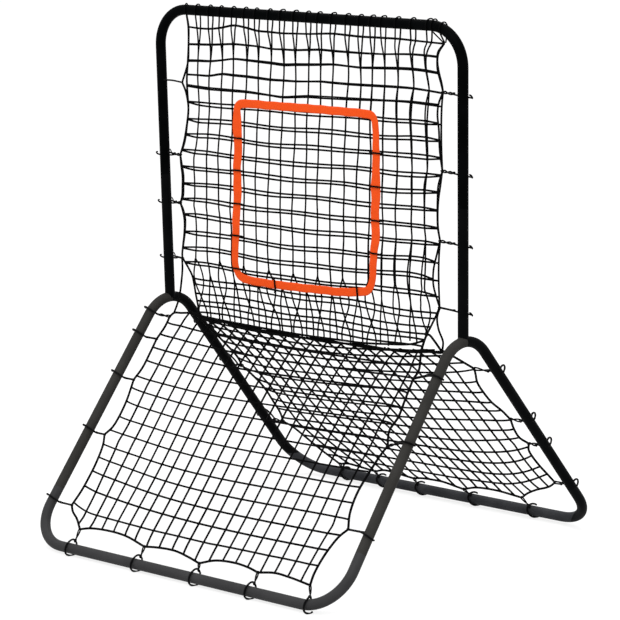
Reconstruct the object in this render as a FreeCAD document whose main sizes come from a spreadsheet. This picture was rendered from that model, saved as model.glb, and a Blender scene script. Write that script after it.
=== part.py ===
import FreeCAD, Part
import math
import os

import Sketcher
from FreeCAD import Placement, Rotation, Vector

# Pitch back rebounder: two bent side arches stand on a front and a rear ground bar, a tall bow
# stands on the tops of the arches, and elastic ties stretch nets inside the frame.
# X runs across the frame, Y from the front bar to the rear bar, Z up from the ground.

DIMENSIONS = {
    # Frame tubes
    "tube_diameter": 28.0,
    "tube_wall": 1.2,
    "arch_spacing": 1050.0,
    "foot_spacing": 1092.0,
    "top_spacing": 1067.0,
    "base_depth": 1060.0,
    "apex_rise": 646.0,
    "frame_rise": 1387.0,
    "apex_radius": 105.0,
    "foot_radius": 110.0,
    "top_radius": 100.0,
    "bar_end": 46.0,
    "bow_leg": 355.0,
    # Inner sleeves, spigots and snap buttons
    "fit_gap": 0.3,
    "sleeve_wall": 1.2,
    "sleeve_reach": 50.0,
    "spigot_rise": 70.0,
    "spigot_button_rise": 52.0,
    "button_diameter": 8.0,
    "button_gap": 0.2,
    "button_proud": 3.0,
    "button_offset": 24.0,
    "flange_diameter": 10.0,
    "flange_thickness": 1.5,
    "spring_width": 7.0,
    "spring_thickness": 0.6,
    "spring_arm": 24.0,
    # Hooks and elastic ties
    "hook_wire": 4.0,
    "hook_ring": 38.0,
    "hook_start": 35.0,
    "hook_sweep": 275.0,
    "leg_hook_roll": 25.0,
    "upright_hook_roll": 45.0,
    "strand_diameter": 2.4,
    # Nets and ropes
    "net_width": 930.0,
    "net_top_width": 870.0,
    "net_hem_width": 800.0,
    "ridge_tie_width": 900.0,
    "mesh_cord": 3.0,
    "mesh_columns": 20.0,
    "mesh_rows": 15.0,
    "edge_rope": 5.0,
    "ridge_rope": 8.0,
    "ridge_rise": 541.0,
    "ridge_length": 894.4,
    "hem_rise": 566.0,
    "scallop": 8.0,
    "sheet_offset": 3.5,
    "bottom_gap": 51.0,
    "tie_turn_radius": 12.0,
    "lacing_cord": 3.0,
    "lacing_loops": 21.0,
    # Orange target frame
    "target_width": 510.0,
    "target_height": 485.0,
    "target_rise": 908.0,
    "target_corner": 30.0,
    "webbing_width": 25.0,
    "webbing_thickness": 1.5,
}

# Where the ties sit: rises above the ground bars on the uprights, distances down each leg from
# the point where the two leg lines meet, and places across the ground bars.
TIES = {
    "left_upright": (1189.0, 989.0, 854.0, 700.0),
    "right_upright": (1221.0, 1020.0, 839.0, 672.0),
    "front_left_leg": (120.0, 195.0, 326.0, 498.0, 716.0),
    "front_right_leg": (180.0, 378.0, 621.0),
    "rear_left_leg": (200.0, 379.0, 628.0),
    "rear_right_leg": (197.0, 390.0, 495.0, 672.0),
    "front_bar": (-395.0, -148.0, 58.0, 256.0, 438.0),
    "rear_bar": (-348.0, -214.0, -71.0, 110.0, 323.0),
}

doc = FreeCAD.newDocument("pitch_back_rebounder")
sheet = doc.addObject("Spreadsheet::Sheet", "sizes")


def fill_sheet():
    """Write every driving dimension and tie place into the sheet under its own name."""
    rows = dict(DIMENSIONS)
    for tube, places in TIES.items():
        for number, place in enumerate(places, 1):
            rows[f"{tube}_tie_{number}"] = place
    for row, (alias, value) in enumerate(rows.items(), 1):
        sheet.set(f"A{row}", alias)
        sheet.set(f"B{row}", str(value))
        sheet.setAlias(f"B{row}", alias)
    doc.recompute()


fill_sheet()


def size(alias):
    return float(sheet.get(alias))


def ties_of(tube):
    return [size(f"{tube}_tie_{number}") for number in range(1, len(TIES[tube]) + 1)]


# Lengths worked out from the driving dimensions
TUBE_R = size("tube_diameter") / 2
BORE_R = TUBE_R - size("tube_wall")
SLEEVE_R = BORE_R - size("fit_gap")
SLEEVE_BORE_R = SLEEVE_R - size("sleeve_wall")
GAP = size("fit_gap")
LEG_LENGTH = math.hypot(size("base_depth") / 2, size("apex_rise"))
SLOPE_OUT = size("base_depth") / 2 / LEG_LENGTH
SLOPE_UP = size("apex_rise") / LEG_LENGTH
RING_R = size("hook_ring") / 2
RING_LINE_R = RING_R + size("hook_wire") / 2
RING_SHIFT = RING_R - TUBE_R - GAP
# The hooks pass under the ground bars, so the bars lie this high.
BAR_Z = RING_R + size("hook_wire") - RING_SHIFT * SLOPE_UP
APEX_Z = BAR_Z + size("apex_rise")
TOP_Z = BAR_Z + size("frame_rise")
ARCH_X = size("arch_spacing") / 2
FOOT_X = size("foot_spacing") / 2
TOP_X = size("top_spacing") / 2
FOOT_Y = size("base_depth") / 2


def unit(vector):
    return Vector(vector).multiply(1.0 / vector.Length)


def frame_placement(origin, along_x, along_z):
    """Placement whose local Z runs along along_z and whose local X lies nearest along_x."""
    z = unit(along_z)
    x = unit(along_x - z * along_x.dot(z))
    y = z.cross(x)
    matrix = FreeCAD.Matrix(
        x.x, y.x, z.x, origin.x,
        x.y, y.y, z.y, origin.y,
        x.z, y.z, z.z, origin.z,
        0, 0, 0, 1,
    )
    return Placement(matrix)


def origin_plane(body, role):
    return next(item for item in body.Origin.OriginFeatures if item.Role == role)


def new_sketch(body, name, role):
    sketch = body.newObject("Sketcher::SketchObject", name)
    sketch.AttachmentSupport = [(origin_plane(body, role), "")]
    sketch.MapMode = "FlatFace"
    return sketch


def bind(sketch, constraint, name, expression):
    """Add a dimension to a sketch and tie it to the sheet."""
    index = sketch.addConstraint(constraint)
    sketch.renameConstraint(index, name)
    sketch.setExpression(f"Constraints.{name}", expression)
    return index


def add_circle(sketch, name, diameter, value):
    """Circle on the sketch's origin with its diameter tied to the sheet."""
    circle = sketch.addGeometry(Part.Circle(Vector(0, 0, 0), Vector(0, 0, 1), value / 2), False)
    sketch.addConstraint(Sketcher.Constraint("Coincident", circle, 3, -1, 1))
    bind(sketch, Sketcher.Constraint("Diameter", circle, value), name, diameter)


def add_rectangle(sketch, width, depth, width_value, depth_value):
    """Rectangle centred on the sketch's origin; width lies across it and depth up it."""
    corners = [
        Vector(x * width_value / 2, y * depth_value / 2, 0)
        for x, y in ((-1, -1), (1, -1), (1, 1), (-1, 1))
    ]
    sides = [
        sketch.addGeometry(Part.LineSegment(corners[n], corners[(n + 1) % 4]), False)
        for n in range(4)
    ]
    for number, side in enumerate(sides):
        following = sides[(number + 1) % 4]
        sketch.addConstraint(Sketcher.Constraint("Coincident", side, 2, following, 1))
        level = "Horizontal" if number % 2 == 0 else "Vertical"
        sketch.addConstraint(Sketcher.Constraint(level, side))
    sketch.addConstraint(Sketcher.Constraint("Symmetric", sides[0], 1, sides[2], 1, -1, 1))
    bind(sketch, Sketcher.Constraint("Distance", sides[0], width_value), "width", width)
    bind(sketch, Sketcher.Constraint("Distance", sides[1], depth_value), "depth", depth)


TUBE_OUTER = "sizes.tube_diameter"
TUBE_INNER = "(sizes.tube_diameter - 2 * sizes.tube_wall)"
SLEEVE_OUTER = f"({TUBE_INNER} - 2 * sizes.fit_gap)"
SLEEVE_INNER = f"({SLEEVE_OUTER} - 2 * sizes.sleeve_wall)"


def tube_section(body):
    section = new_sketch(body, "section", "XY_Plane")
    add_circle(section, "outer", TUBE_OUTER, 2 * TUBE_R)
    add_circle(section, "inner", TUBE_INNER, 2 * BORE_R)
    return section


def sleeve_section(body):
    section = new_sketch(body, "section", "XY_Plane")
    add_circle(section, "outer", SLEEVE_OUTER, 2 * SLEEVE_R)
    add_circle(section, "inner", SLEEVE_INNER, 2 * SLEEVE_BORE_R)
    return section


def spring_section(body):
    section = new_sketch(body, "section", "XY_Plane")
    thickness, width = size("spring_thickness"), size("spring_width")
    add_rectangle(section, "sizes.spring_thickness", "sizes.spring_width", thickness, width)
    return section


def bent_body(name, steps, draw_section):
    """Body that starts up local Z from its origin and bends towards local X.

    steps holds ("line", expression, length) and ("arc", expression, radius, angle expression,
    angle in degrees).
    """
    body = doc.addObject("PartDesign::Body", name)
    body.Label = name
    path = new_sketch(body, "path", "XZ_Plane")
    place = Vector(0, 0, 0)
    heading = math.pi / 2
    last = None
    for number, step in enumerate(steps, 1):
        if step[0] == "line":
            length = step[2]
            end = place + Vector(math.cos(heading), math.sin(heading), 0) * length
            edge = path.addGeometry(Part.LineSegment(place, end), False)
            bind(path, Sketcher.Constraint("Distance", edge, length), f"length{number}", step[1])
            if last is None:
                path.addConstraint(Sketcher.Constraint("Coincident", edge, 1, -1, 1))
                path.addConstraint(Sketcher.Constraint("Vertical", edge))
            else:
                path.addConstraint(Sketcher.Constraint("Tangent", last, 1, edge, 1))
            place = end
        else:
            radius, turn = step[2], math.radians(step[4])
            centre = place + Vector(math.sin(heading), -math.cos(heading), 0) * radius
            start = heading + math.pi / 2
            circle = Part.Circle(centre, Vector(0, 0, 1), radius)
            # A sketch arc runs anticlockwise, so its second end is where the bend begins.
            edge = path.addGeometry(Part.ArcOfCircle(circle, start - turn, start), False)
            path.addConstraint(Sketcher.Constraint("Tangent", last, 2, edge, 2))
            bind(path, Sketcher.Constraint("Radius", edge, radius), f"radius{number}", step[1])
            bind(path, Sketcher.Constraint("Angle", edge, turn), f"angle{number}", step[3])
            heading -= turn
            place = centre + Vector(-math.sin(heading), math.cos(heading), 0) * radius
        last = edge
    section = draw_section(body)
    doc.recompute()
    pipe = body.newObject("PartDesign::AdditivePipe", "bent_bar")
    pipe.Profile = section
    pipe.Spine = (path, [f"Edge{number}" for number in range(1, len(steps) + 1)])
    pipe.Mode = "Standard"
    pipe.Transition = "Transformed"
    body.Tip = pipe
    doc.recompute()
    return body


def straight_body(name, draw_section, expression, length):
    """Body of one section that runs up local Z from its origin."""
    body = doc.addObject("PartDesign::Body", name)
    body.Label = name
    pad = body.newObject("PartDesign::Pad", "straight_bar")
    pad.Profile = draw_section(body)
    pad.Length = length
    pad.setExpression("Length", expression)
    body.Tip = pad
    doc.recompute()
    return body


def drill(body, name, across, up):
    """Button hole through one wall of a tube: it opens towards local +Y.

    across and up place it in the local XZ plane, each as (expression, value).
    """
    before = body.Shape.Volume
    sketch = new_sketch(body, name, "XZ_Plane")
    bore = size("button_diameter") + 2 * size("button_gap")
    circle = Part.Circle(Vector(across[1], up[1], 0), Vector(0, 0, 1), bore / 2)
    hole = sketch.addGeometry(circle, False)
    bore_text = "sizes.button_diameter + 2 * sizes.button_gap"
    bind(sketch, Sketcher.Constraint("Diameter", hole, bore), "bore", bore_text)
    if across[0]:
        reach = Sketcher.Constraint("DistanceX", -1, 1, hole, 3, across[1])
        bind(sketch, reach, "across", across[0])
    else:
        sketch.addConstraint(Sketcher.Constraint("PointOnObject", hole, 3, -2))
    bind(sketch, Sketcher.Constraint("DistanceY", -1, 1, hole, 3, up[1]), "up", up[0])
    doc.recompute()
    pocket = body.newObject("PartDesign::Pocket", f"{name}_cut")
    pocket.Profile = sketch
    pocket.Type = "Length"
    pocket.Length = 2 * TUBE_R
    pocket.setExpression("Length", TUBE_OUTER)
    body.Tip = pocket
    doc.recompute()
    if body.Shape.Volume >= before:
        raise ValueError(f"{body.Label}: {name} cut nothing")


def apex_point(side):
    """Point where the leg lines and the upright's line of one side meet."""
    return Vector(side * ARCH_X, 0, APEX_Z)


def foot_point(side, end):
    """Corner where a leg's line meets a ground bar's line; end is -1 in front and 1 behind."""
    return Vector(side * FOOT_X, end * FOOT_Y, BAR_Z)


def top_point(side):
    return Vector(side * TOP_X, 0, TOP_Z)


def leg_direction(side, end):
    return unit(foot_point(side, end) - apex_point(side))


def upright_direction(side):
    return unit(top_point(side) - apex_point(side))


def degrees_between(first, second):
    return math.degrees(first.getAngle(second))


def tangent_length(radius, bend):
    """Distance from a bend's corner point to where the bend begins."""
    return radius * math.tan(math.radians(bend / 2))


ACROSS = Vector(1, 0, 0)
REARWARD = Vector(0, 1, 0)
SIDES = {"left": -1, "right": 1}
ENDS = {"front": -1, "rear": 1}

# Bend angles and straight lengths of the bent tubes, as values and as sheet expressions
LEG_TEXT = (
    "sqrt((sizes.base_depth / 2) ^ 2 + sizes.apex_rise ^ 2"
    " + ((sizes.foot_spacing - sizes.arch_spacing) / 2) ^ 2)"
)
LEG_LINE = (foot_point(1, 1) - apex_point(1)).Length
APEX_BEND = 180 - degrees_between(leg_direction(1, -1), leg_direction(1, 1))
APEX_BEND_TEXT = f"(180 deg - 2 * asin(sizes.base_depth / 2 / {LEG_TEXT}))"
FOOT_BEND = degrees_between(leg_direction(-1, -1), ACROSS)
FOOT_BEND_TEXT = f"(90 deg + asin((sizes.foot_spacing - sizes.arch_spacing) / 2 / {LEG_TEXT}))"
TOP_BEND = degrees_between(upright_direction(-1), ACROSS)
TOP_BEND_TEXT = (
    "(90 deg + atan((sizes.top_spacing - sizes.arch_spacing) / 2"
    " / (sizes.frame_rise - sizes.apex_rise)))"
)
APEX_TANGENT = tangent_length(size("apex_radius"), APEX_BEND)
APEX_TANGENT_TEXT = f"sizes.apex_radius * tan({APEX_BEND_TEXT} / 2)"
FOOT_TANGENT = tangent_length(size("foot_radius"), FOOT_BEND)
FOOT_TANGENT_TEXT = f"sizes.foot_radius * tan({FOOT_BEND_TEXT} / 2)"
TOP_TANGENT = tangent_length(size("top_radius"), TOP_BEND)
TOP_TANGENT_TEXT = f"sizes.top_radius * tan({TOP_BEND_TEXT} / 2)"
# Distance from the apex point down a leg to the seam between arch and ground bar
SEAM = LEG_LINE - FOOT_TANGENT - size("bar_end")
SEAM_TEXT = f"({LEG_TEXT} - {FOOT_TANGENT_TEXT} - sizes.bar_end)"
# Distance from the top corner point down an upright to the seam between bow and upright
BOW_SEAM = TOP_TANGENT + size("bow_leg")
BOW_SEAM_TEXT = f"({TOP_TANGENT_TEXT} + sizes.bow_leg)"
UPRIGHT_LINE = (top_point(1) - apex_point(1)).Length
UPRIGHT_TEXT = (
    "sqrt((sizes.frame_rise - sizes.apex_rise) ^ 2"
    " + ((sizes.top_spacing - sizes.arch_spacing) / 2) ^ 2)"
)
# How far the apex bend's centre line lies under the apex point
BEND_COS = math.cos(math.radians(APEX_BEND / 2))
APEX_DROP = size("apex_radius") * (1 / BEND_COS - 1)
APEX_DROP_TEXT = f"sizes.apex_radius * (1 / cos({APEX_BEND_TEXT} / 2) - 1)"

nodes = []


def keep(item, label):
    item.Label = label
    nodes.append(item)
    return item


def make_side_arch(side_name):
    side = SIDES[side_name]
    leg = ("line", f"{SEAM_TEXT} - {APEX_TANGENT_TEXT}", SEAM - APEX_TANGENT)
    bend = ("arc", "sizes.apex_radius", size("apex_radius"), APEX_BEND_TEXT, APEX_BEND)
    body = bent_body(f"side_arch_{side_name}", [leg, bend, leg], tube_section)
    offset = size("button_offset")
    drill(body, "front_hole", ("", 0.0), ("sizes.button_offset", offset))
    reach = SEAM - offset
    reach_text = f"({SEAM_TEXT} - sizes.button_offset)"
    bend_angle = math.radians(APEX_BEND)
    across = (f"{reach_text} * sin({APEX_BEND_TEXT})", reach * math.sin(bend_angle))
    up = (
        f"{SEAM_TEXT} + {reach_text} * cos({APEX_BEND_TEXT})",
        SEAM + reach * math.cos(bend_angle),
    )
    drill(body, "rear_hole", across, up)
    start = apex_point(side) + leg_direction(side, -1) * SEAM
    body.Placement = frame_placement(start, REARWARD, leg_direction(side, -1) * -1)
    keep(body, f"side_arch_{side_name}")


def make_ground_bar(end_name):
    end = ENDS[end_name]
    stub = ("line", "sizes.bar_end", size("bar_end"))
    bend = ("arc", "sizes.foot_radius", size("foot_radius"), FOOT_BEND_TEXT, FOOT_BEND)
    across = (
        "line",
        f"sizes.foot_spacing - 2 * {FOOT_TANGENT_TEXT}",
        size("foot_spacing") - 2 * FOOT_TANGENT,
    )
    body = bent_body(f"{end_name}_ground_bar", [stub, bend, across, bend, stub], tube_section)
    start = apex_point(-1) + leg_direction(-1, end) * SEAM
    body.Placement = frame_placement(start, ACROSS, leg_direction(-1, end))
    keep(body, f"{end_name}_ground_bar")


def make_top_bow():
    leg = ("line", "sizes.bow_leg", size("bow_leg"))
    bend = ("arc", "sizes.top_radius", size("top_radius"), TOP_BEND_TEXT, TOP_BEND)
    across = (
        "line",
        f"sizes.top_spacing - 2 * {TOP_TANGENT_TEXT}",
        size("top_spacing") - 2 * TOP_TANGENT,
    )
    body = bent_body("top_bow", [leg, bend, across, bend, leg], tube_section)
    offset = size("button_offset")
    drill(body, "left_hole", ("", 0.0), ("sizes.button_offset", offset))
    turn = math.radians(TOP_BEND)
    reach = BOW_SEAM - offset
    reach_text = f"({BOW_SEAM_TEXT} - sizes.button_offset)"
    across_hole = (
        f"sizes.top_spacing * sin({TOP_BEND_TEXT}) + {reach_text} * sin(2 * {TOP_BEND_TEXT})",
        size("top_spacing") * math.sin(turn) + reach * math.sin(2 * turn),
    )
    up_hole = (
        f"{BOW_SEAM_TEXT} + sizes.top_spacing * cos({TOP_BEND_TEXT})"
        f" + {reach_text} * cos(2 * {TOP_BEND_TEXT})",
        BOW_SEAM + size("top_spacing") * math.cos(turn) + reach * math.cos(2 * turn),
    )
    drill(body, "right_hole", across_hole, up_hole)
    start = top_point(-1) - upright_direction(-1) * BOW_SEAM
    body.Placement = frame_placement(start, ACROSS, upright_direction(-1))
    keep(body, "top_bow")


def apex_torus(side_name):
    """Ring that follows an arch's bend, a fit gap wider than its tube, for shaping what sits on it."""
    side = SIDES[side_name]
    ring = doc.addObject("Part::Torus", f"apex_ring_{side_name}")
    ring.setExpression("Radius1", "sizes.apex_radius")
    ring.setExpression("Radius2", "sizes.tube_diameter / 2 + sizes.fit_gap")
    down = unit(leg_direction(side, -1) + leg_direction(side, 1))
    centre = apex_point(side) + down * (APEX_DROP + size("apex_radius"))
    ring.Placement = frame_placement(centre, REARWARD, down.cross(REARWARD))
    return ring


def seat_on_apex(body, side_name, label):
    """Shape the lower end of a tube to the arch's bend."""
    seated = doc.addObject("Part::Cut", f"{label}_seated")
    body.Label = f"{label}_tube"
    seated.Base = body
    seated.Tool = apex_torus(side_name)
    doc.recompute()
    keep(seated, label)


def make_upright(side_name):
    """Straight tube from an arch's apex up to the seam of the bow."""
    side = SIDES[side_name]
    length = UPRIGHT_LINE + APEX_DROP - BOW_SEAM
    text = f"{UPRIGHT_TEXT} + {APEX_DROP_TEXT} - {BOW_SEAM_TEXT}"
    body = straight_body(f"upright_{side_name}_tube", tube_section, text, length)
    drill(body, "hole", ("", 0.0), ("sizes.spigot_button_rise", size("spigot_button_rise")))
    start = apex_point(side) - upright_direction(side) * APEX_DROP
    body.Placement = frame_placement(start, ACROSS, upright_direction(side))
    seat_on_apex(body, side_name, f"upright_{side_name}")


def make_spigot(side_name):
    """Stub on the arch's apex that the upright slides over."""
    side = SIDES[side_name]
    length = TUBE_R + size("spigot_rise")
    text = "sizes.tube_diameter / 2 + sizes.spigot_rise"
    body = straight_body(f"apex_spigot_{side_name}_tube", sleeve_section, text, length)
    drill(body, "hole", ("", 0.0), ("sizes.spigot_button_rise", size("spigot_button_rise")))
    start = apex_point(side) - upright_direction(side) * APEX_DROP
    body.Placement = frame_placement(start, ACROSS, upright_direction(side))
    seat_on_apex(body, side_name, f"apex_spigot_{side_name}")


def make_sleeve(label, seam, along, across):
    """Inner sleeve that joins two tubes at a seam; its button hole lies past the seam."""
    reach = size("sleeve_reach")
    body = straight_body(label, sleeve_section, "2 * sizes.sleeve_reach", 2 * reach)
    up = ("sizes.sleeve_reach + sizes.button_offset", reach + size("button_offset"))
    drill(body, "hole", ("", 0.0), up)
    body.Placement = frame_placement(seam - along * reach, across, along)
    keep(body, label)


# Snap buttons: a flanged, rounded pin pushed out through sleeve and tube by a bent strip
FLANGE_R = size("flange_diameter") / 2
FLANGE_TOP = math.sqrt(SLEEVE_BORE_R**2 - FLANGE_R**2) - GAP
FLANGE_TOP_TEXT = (
    f"(sqrt(({SLEEVE_INNER} / 2) ^ 2 - (sizes.flange_diameter / 2) ^ 2) - sizes.fit_gap)"
)
SPRING_FAR = math.sqrt(SLEEVE_BORE_R**2 - (size("spring_width") / 2) ** 2) - GAP
SPRING_FAR_TEXT = (
    f"(sqrt(({SLEEVE_INNER} / 2) ^ 2 - (sizes.spring_width / 2) ^ 2) - sizes.fit_gap)"
)
SPRING_NEAR = FLANGE_TOP - size("flange_thickness") - GAP
SPRING_NEAR_TEXT = f"({FLANGE_TOP_TEXT} - sizes.flange_thickness - sizes.fit_gap)"
BUTTON_TOP = TUBE_R + size("button_proud")


def add_disc(body, name, radius, height, base):
    """Round disc or pin on a button's axis; each size is (expression, value)."""
    disc = body.newObject("PartDesign::AdditiveCylinder", name)
    disc.Radius = radius[1]
    disc.Height = height[1]
    disc.Placement.Base.z = base[1]
    disc.setExpression("Radius", radius[0])
    disc.setExpression("Height", height[0])
    disc.setExpression("Placement.Base.z", base[0])
    doc.recompute()
    return disc


def make_button(label, centre, outward, along):
    """Snap button on the axis outward through the tube's centre."""
    body = doc.addObject("PartDesign::Body", label)
    thickness = size("flange_thickness")
    radius = size("button_diameter") / 2
    base = (f"{FLANGE_TOP_TEXT} - sizes.flange_thickness", FLANGE_TOP - thickness)
    add_disc(
        body,
        "flange",
        ("sizes.flange_diameter / 2", FLANGE_R),
        ("sizes.flange_thickness", thickness),
        base,
    )
    height_text = f"sizes.tube_diameter / 2 + sizes.button_proud - ({base[0]})"
    pin = add_disc(
        body,
        "pin",
        ("sizes.button_diameter / 2", radius),
        (height_text, BUTTON_TOP - base[1]),
        base,
    )
    rim = next(
        f"Edge{number}"
        for number, edge in enumerate(pin.Shape.Edges, 1)
        if edge.Closed and edge.CenterOfMass.z > BUTTON_TOP - GAP
    )
    dome = body.newObject("PartDesign::Fillet", "dome")
    dome.Base = (pin, [rim])
    dome.Radius = size("button_proud") * 0.9
    dome.setExpression("Radius", "min(sizes.button_proud * 0.9; sizes.button_diameter * 0.45)")
    body.Tip = dome
    doc.recompute()
    body.Placement = frame_placement(centre, along, outward)
    keep(body, label)


def make_spring(label, centre, outward, along):
    """U-shaped strip in the bore: one arm on the far wall, the other behind the button."""
    thickness = size("spring_thickness")
    bend = (SPRING_NEAR + SPRING_FAR - thickness) / 2
    arm = ("line", "sizes.spring_arm", size("spring_arm"))
    turn = (
        "arc",
        f"({SPRING_NEAR_TEXT} + {SPRING_FAR_TEXT} - sizes.spring_thickness) / 2",
        bend,
        "180 deg",
        180.0,
    )
    body = bent_body(label, [arm, turn, arm], spring_section)
    start = centre - outward * (SPRING_FAR - thickness / 2) + along * FLANGE_R
    body.Placement = frame_placement(start, outward, along * -1)
    keep(body, label)


def make_button_set(name, centre, outward, along):
    make_button(f"snap_button_{name}", centre, outward, along)
    make_spring(f"button_spring_{name}", centre, outward, along)


def make_frame():
    for side_name, side in SIDES.items():
        make_side_arch(side_name)
        make_upright(side_name)
        make_spigot(side_name)
        up = upright_direction(side)
        spigot_button = apex_point(side) + up * (size("spigot_button_rise") - APEX_DROP)
        make_button_set(f"apex_{side_name}", spigot_button, REARWARD, up)
        bow_seam = top_point(side) - up * BOW_SEAM
        make_sleeve(f"bow_sleeve_{side_name}", bow_seam, up, ACROSS)
        bow_button = bow_seam + up * size("button_offset")
        make_button_set(f"bow_{side_name}", bow_button, REARWARD, up)
        for end_name, end in ENDS.items():
            name = f"{end_name}_{side_name}"
            up_leg = leg_direction(side, end) * -1
            seam = apex_point(side) - up_leg * SEAM
            make_sleeve(f"leg_sleeve_{name}", seam, up_leg, REARWARD)
            button = seam + up_leg * size("button_offset")
            outward = up_leg.cross(unit(REARWARD - up_leg * up_leg.dot(REARWARD)))
            make_button_set(name, button, outward, up_leg)
    make_top_bow()
    for end_name in ENDS:
        make_ground_bar(end_name)


def feature(label, shape):
    item = doc.addObject("Part::Feature", label)
    item.Shape = shape
    item.Placement = Placement()
    return keep(item, label)


def primitive(kind, name, sizes, placement):
    """Part primitive whose sizes are sheet expressions."""
    item = doc.addObject(f"Part::{kind}", name)
    for field, expression in sizes.items():
        item.setExpression(field, expression)
    item.Placement = placement
    return item


def gather(label, items, kind="Compound"):
    """One object that holds a group of primitives."""
    group = doc.addObject(f"Part::{kind}", label)
    if kind == "Compound":
        group.Links = items
    else:
        group.Shapes = items
    doc.recompute()
    return group


def rope_wire(stops, centre):
    """Path of a rope through its stops, and where and in which direction it passes each tie.

    stops holds (point, tie name or None). Between two ties the rope hangs back towards centre.
    """
    corners = [stops[0]]
    radii = [0.0]
    for before, after in zip(stops, stops[1:]):
        run = after[0] - before[0]
        if before[1] and after[1]:
            half = run.Length / 2
            middle = (before[0] + after[0]) * 0.5
            along = unit(run)
            inward = unit((centre - middle) - along * (centre - middle).dot(along))
            turn = 2 * math.atan(size("scallop") / half)
            corners.append((middle + inward * size("scallop"), None))
            radii.append(SCALLOP_ROUND * half / math.tan(turn / 2))
        corners.append(after)
        radii.append(size("tie_turn_radius"))
    edges = []
    passes = {}
    start = corners[0][0]
    for number in range(1, len(corners) - 1):
        corner, tie = corners[number]
        before = unit(corners[number - 1][0] - corner)
        after = unit(corners[number + 1][0] - corner)
        turn = math.pi - before.getAngle(after)
        tangent = radii[number] * math.tan(turn / 2)
        bulge = radii[number] * (1 / math.cos(turn / 2) - 1)
        middle = corner + unit(before + after) * bulge
        first = corner + before * tangent
        last = corner + after * tangent
        edges.append(Part.LineSegment(start, first).toShape())
        edges.append(Part.Arc(first, middle, last).toShape())
        if tie:
            passes[tie] = (middle, unit(after - before))
        start = last
    edges.append(Part.LineSegment(start, corners[-1][0]).toShape())
    return Part.Wire(edges), passes


def make_rope(label, stops, centre):
    wire, passes = rope_wire(stops, centre)
    direction = stops[1][0] - stops[0][0]
    circle = Part.makeCircle(size("edge_rope") / 2, stops[0][0], direction)
    feature(label, wire.makePipeShell([Part.Wire([circle])], True, False))
    return passes


# Rope places: half widths at the ties, at the top, at the hem and at the ridge rope
TIE_X = size("net_width") / 2
TOP_CORNER_X = size("net_top_width") / 2
HEM_X = size("net_hem_width") / 2
RIDGE_X = size("ridge_tie_width") / 2
ROPE_R = size("edge_rope") / 2
SHEET_Y = size("sheet_offset")
NET_TOP_Z = TOP_Z - TUBE_R - 2 * GAP - size("lacing_cord")
HEM_Z = BAR_Z + size("hem_rise")
RIDGE_Z = BAR_Z + size("ridge_rise")
ROPE_START = 1.0
# Share of a scallop's half length that its rounded middle takes on each side
SCALLOP_ROUND = 0.45
NET_INSET = size("scallop") * (1 - SCALLOP_ROUND / 2) + ROPE_R + GAP


def upper_tie(side, y, rise):
    return Vector(side * TIE_X, y, BAR_Z + rise)


def slope_point(x, end, distance):
    """Point in the plane of the front or rear legs, a distance down from the apex line."""
    down = leg_direction(1, end)
    drop = distance * SLOPE_UP
    return Vector(x, end * distance * SLOPE_OUT, APEX_Z - drop)


def upper_stops(y):
    left = [(upper_tie(-1, y, rise), f"left_upright_{n}")
            for n, rise in enumerate(ties_of("left_upright"), 1)]
    right = [(upper_tie(1, y, rise), f"right_upright_{n}")
             for n, rise in enumerate(ties_of("right_upright"), 1)]
    start = (Vector(-TOP_CORNER_X, y, NET_TOP_Z), None)
    hem = [(Vector(side * HEM_X, y, HEM_Z), None) for side in (-1, 1)]
    end = (Vector(TOP_CORNER_X, y, NET_TOP_Z), None)
    return [start, *left, *hem, *reversed(right), end]


def lower_stops(end_name):
    end = ENDS[end_name]
    left, bar, right = (f"{end_name}_left_leg", f"{end_name}_bar", f"{end_name}_right_leg")
    down = [(slope_point(-TIE_X, end, place), f"{left}_{n}")
            for n, place in enumerate(ties_of(left), 1)]
    bottom = LEG_LENGTH - size("bottom_gap")
    across = [(slope_point(x, end, bottom), f"{bar}_{n}")
              for n, x in enumerate(ties_of(bar), 1)]
    up = [(slope_point(TIE_X, end, place), f"{right}_{n}")
          for n, place in enumerate(ties_of(right), 1)]
    first = (Vector(-RIDGE_X, end * ROPE_START, RIDGE_Z), None)
    last = (Vector(RIDGE_X, end * ROPE_START, RIDGE_Z), None)
    return [first, *down, *across, *reversed(up), last]


def make_ropes():
    """Edge ropes of the four nets; returns where each rope passes its ties."""
    passes = {}
    middle_z = (NET_TOP_Z + HEM_Z) / 2
    for end_name, end in ENDS.items():
        y = end * SHEET_Y
        centre = Vector(0, y, middle_z)
        upper = make_rope(f"upper_edge_rope_{end_name}", upper_stops(y), centre)
        for tie, place in upper.items():
            passes.setdefault(tie, []).append(place)
        centre = slope_point(0, end, LEG_LENGTH / 2)
        lower = make_rope(f"lower_edge_rope_{end_name}", lower_stops(end_name), centre)
        for tie, place in lower.items():
            passes.setdefault(tie, []).append(place)
    return passes


def edge_at(knots, level):
    """Sideways place of a net's edge at one level, set in from the rope's corner points."""
    for (low, low_x), (high, high_x) in zip(knots, knots[1:]):
        if level <= high:
            slope = (high_x - low_x) / (high - low)
            return low_x + slope * (level - low) - NET_INSET * math.hypot(1, slope)
    return knots[-1][1] - NET_INSET


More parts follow.
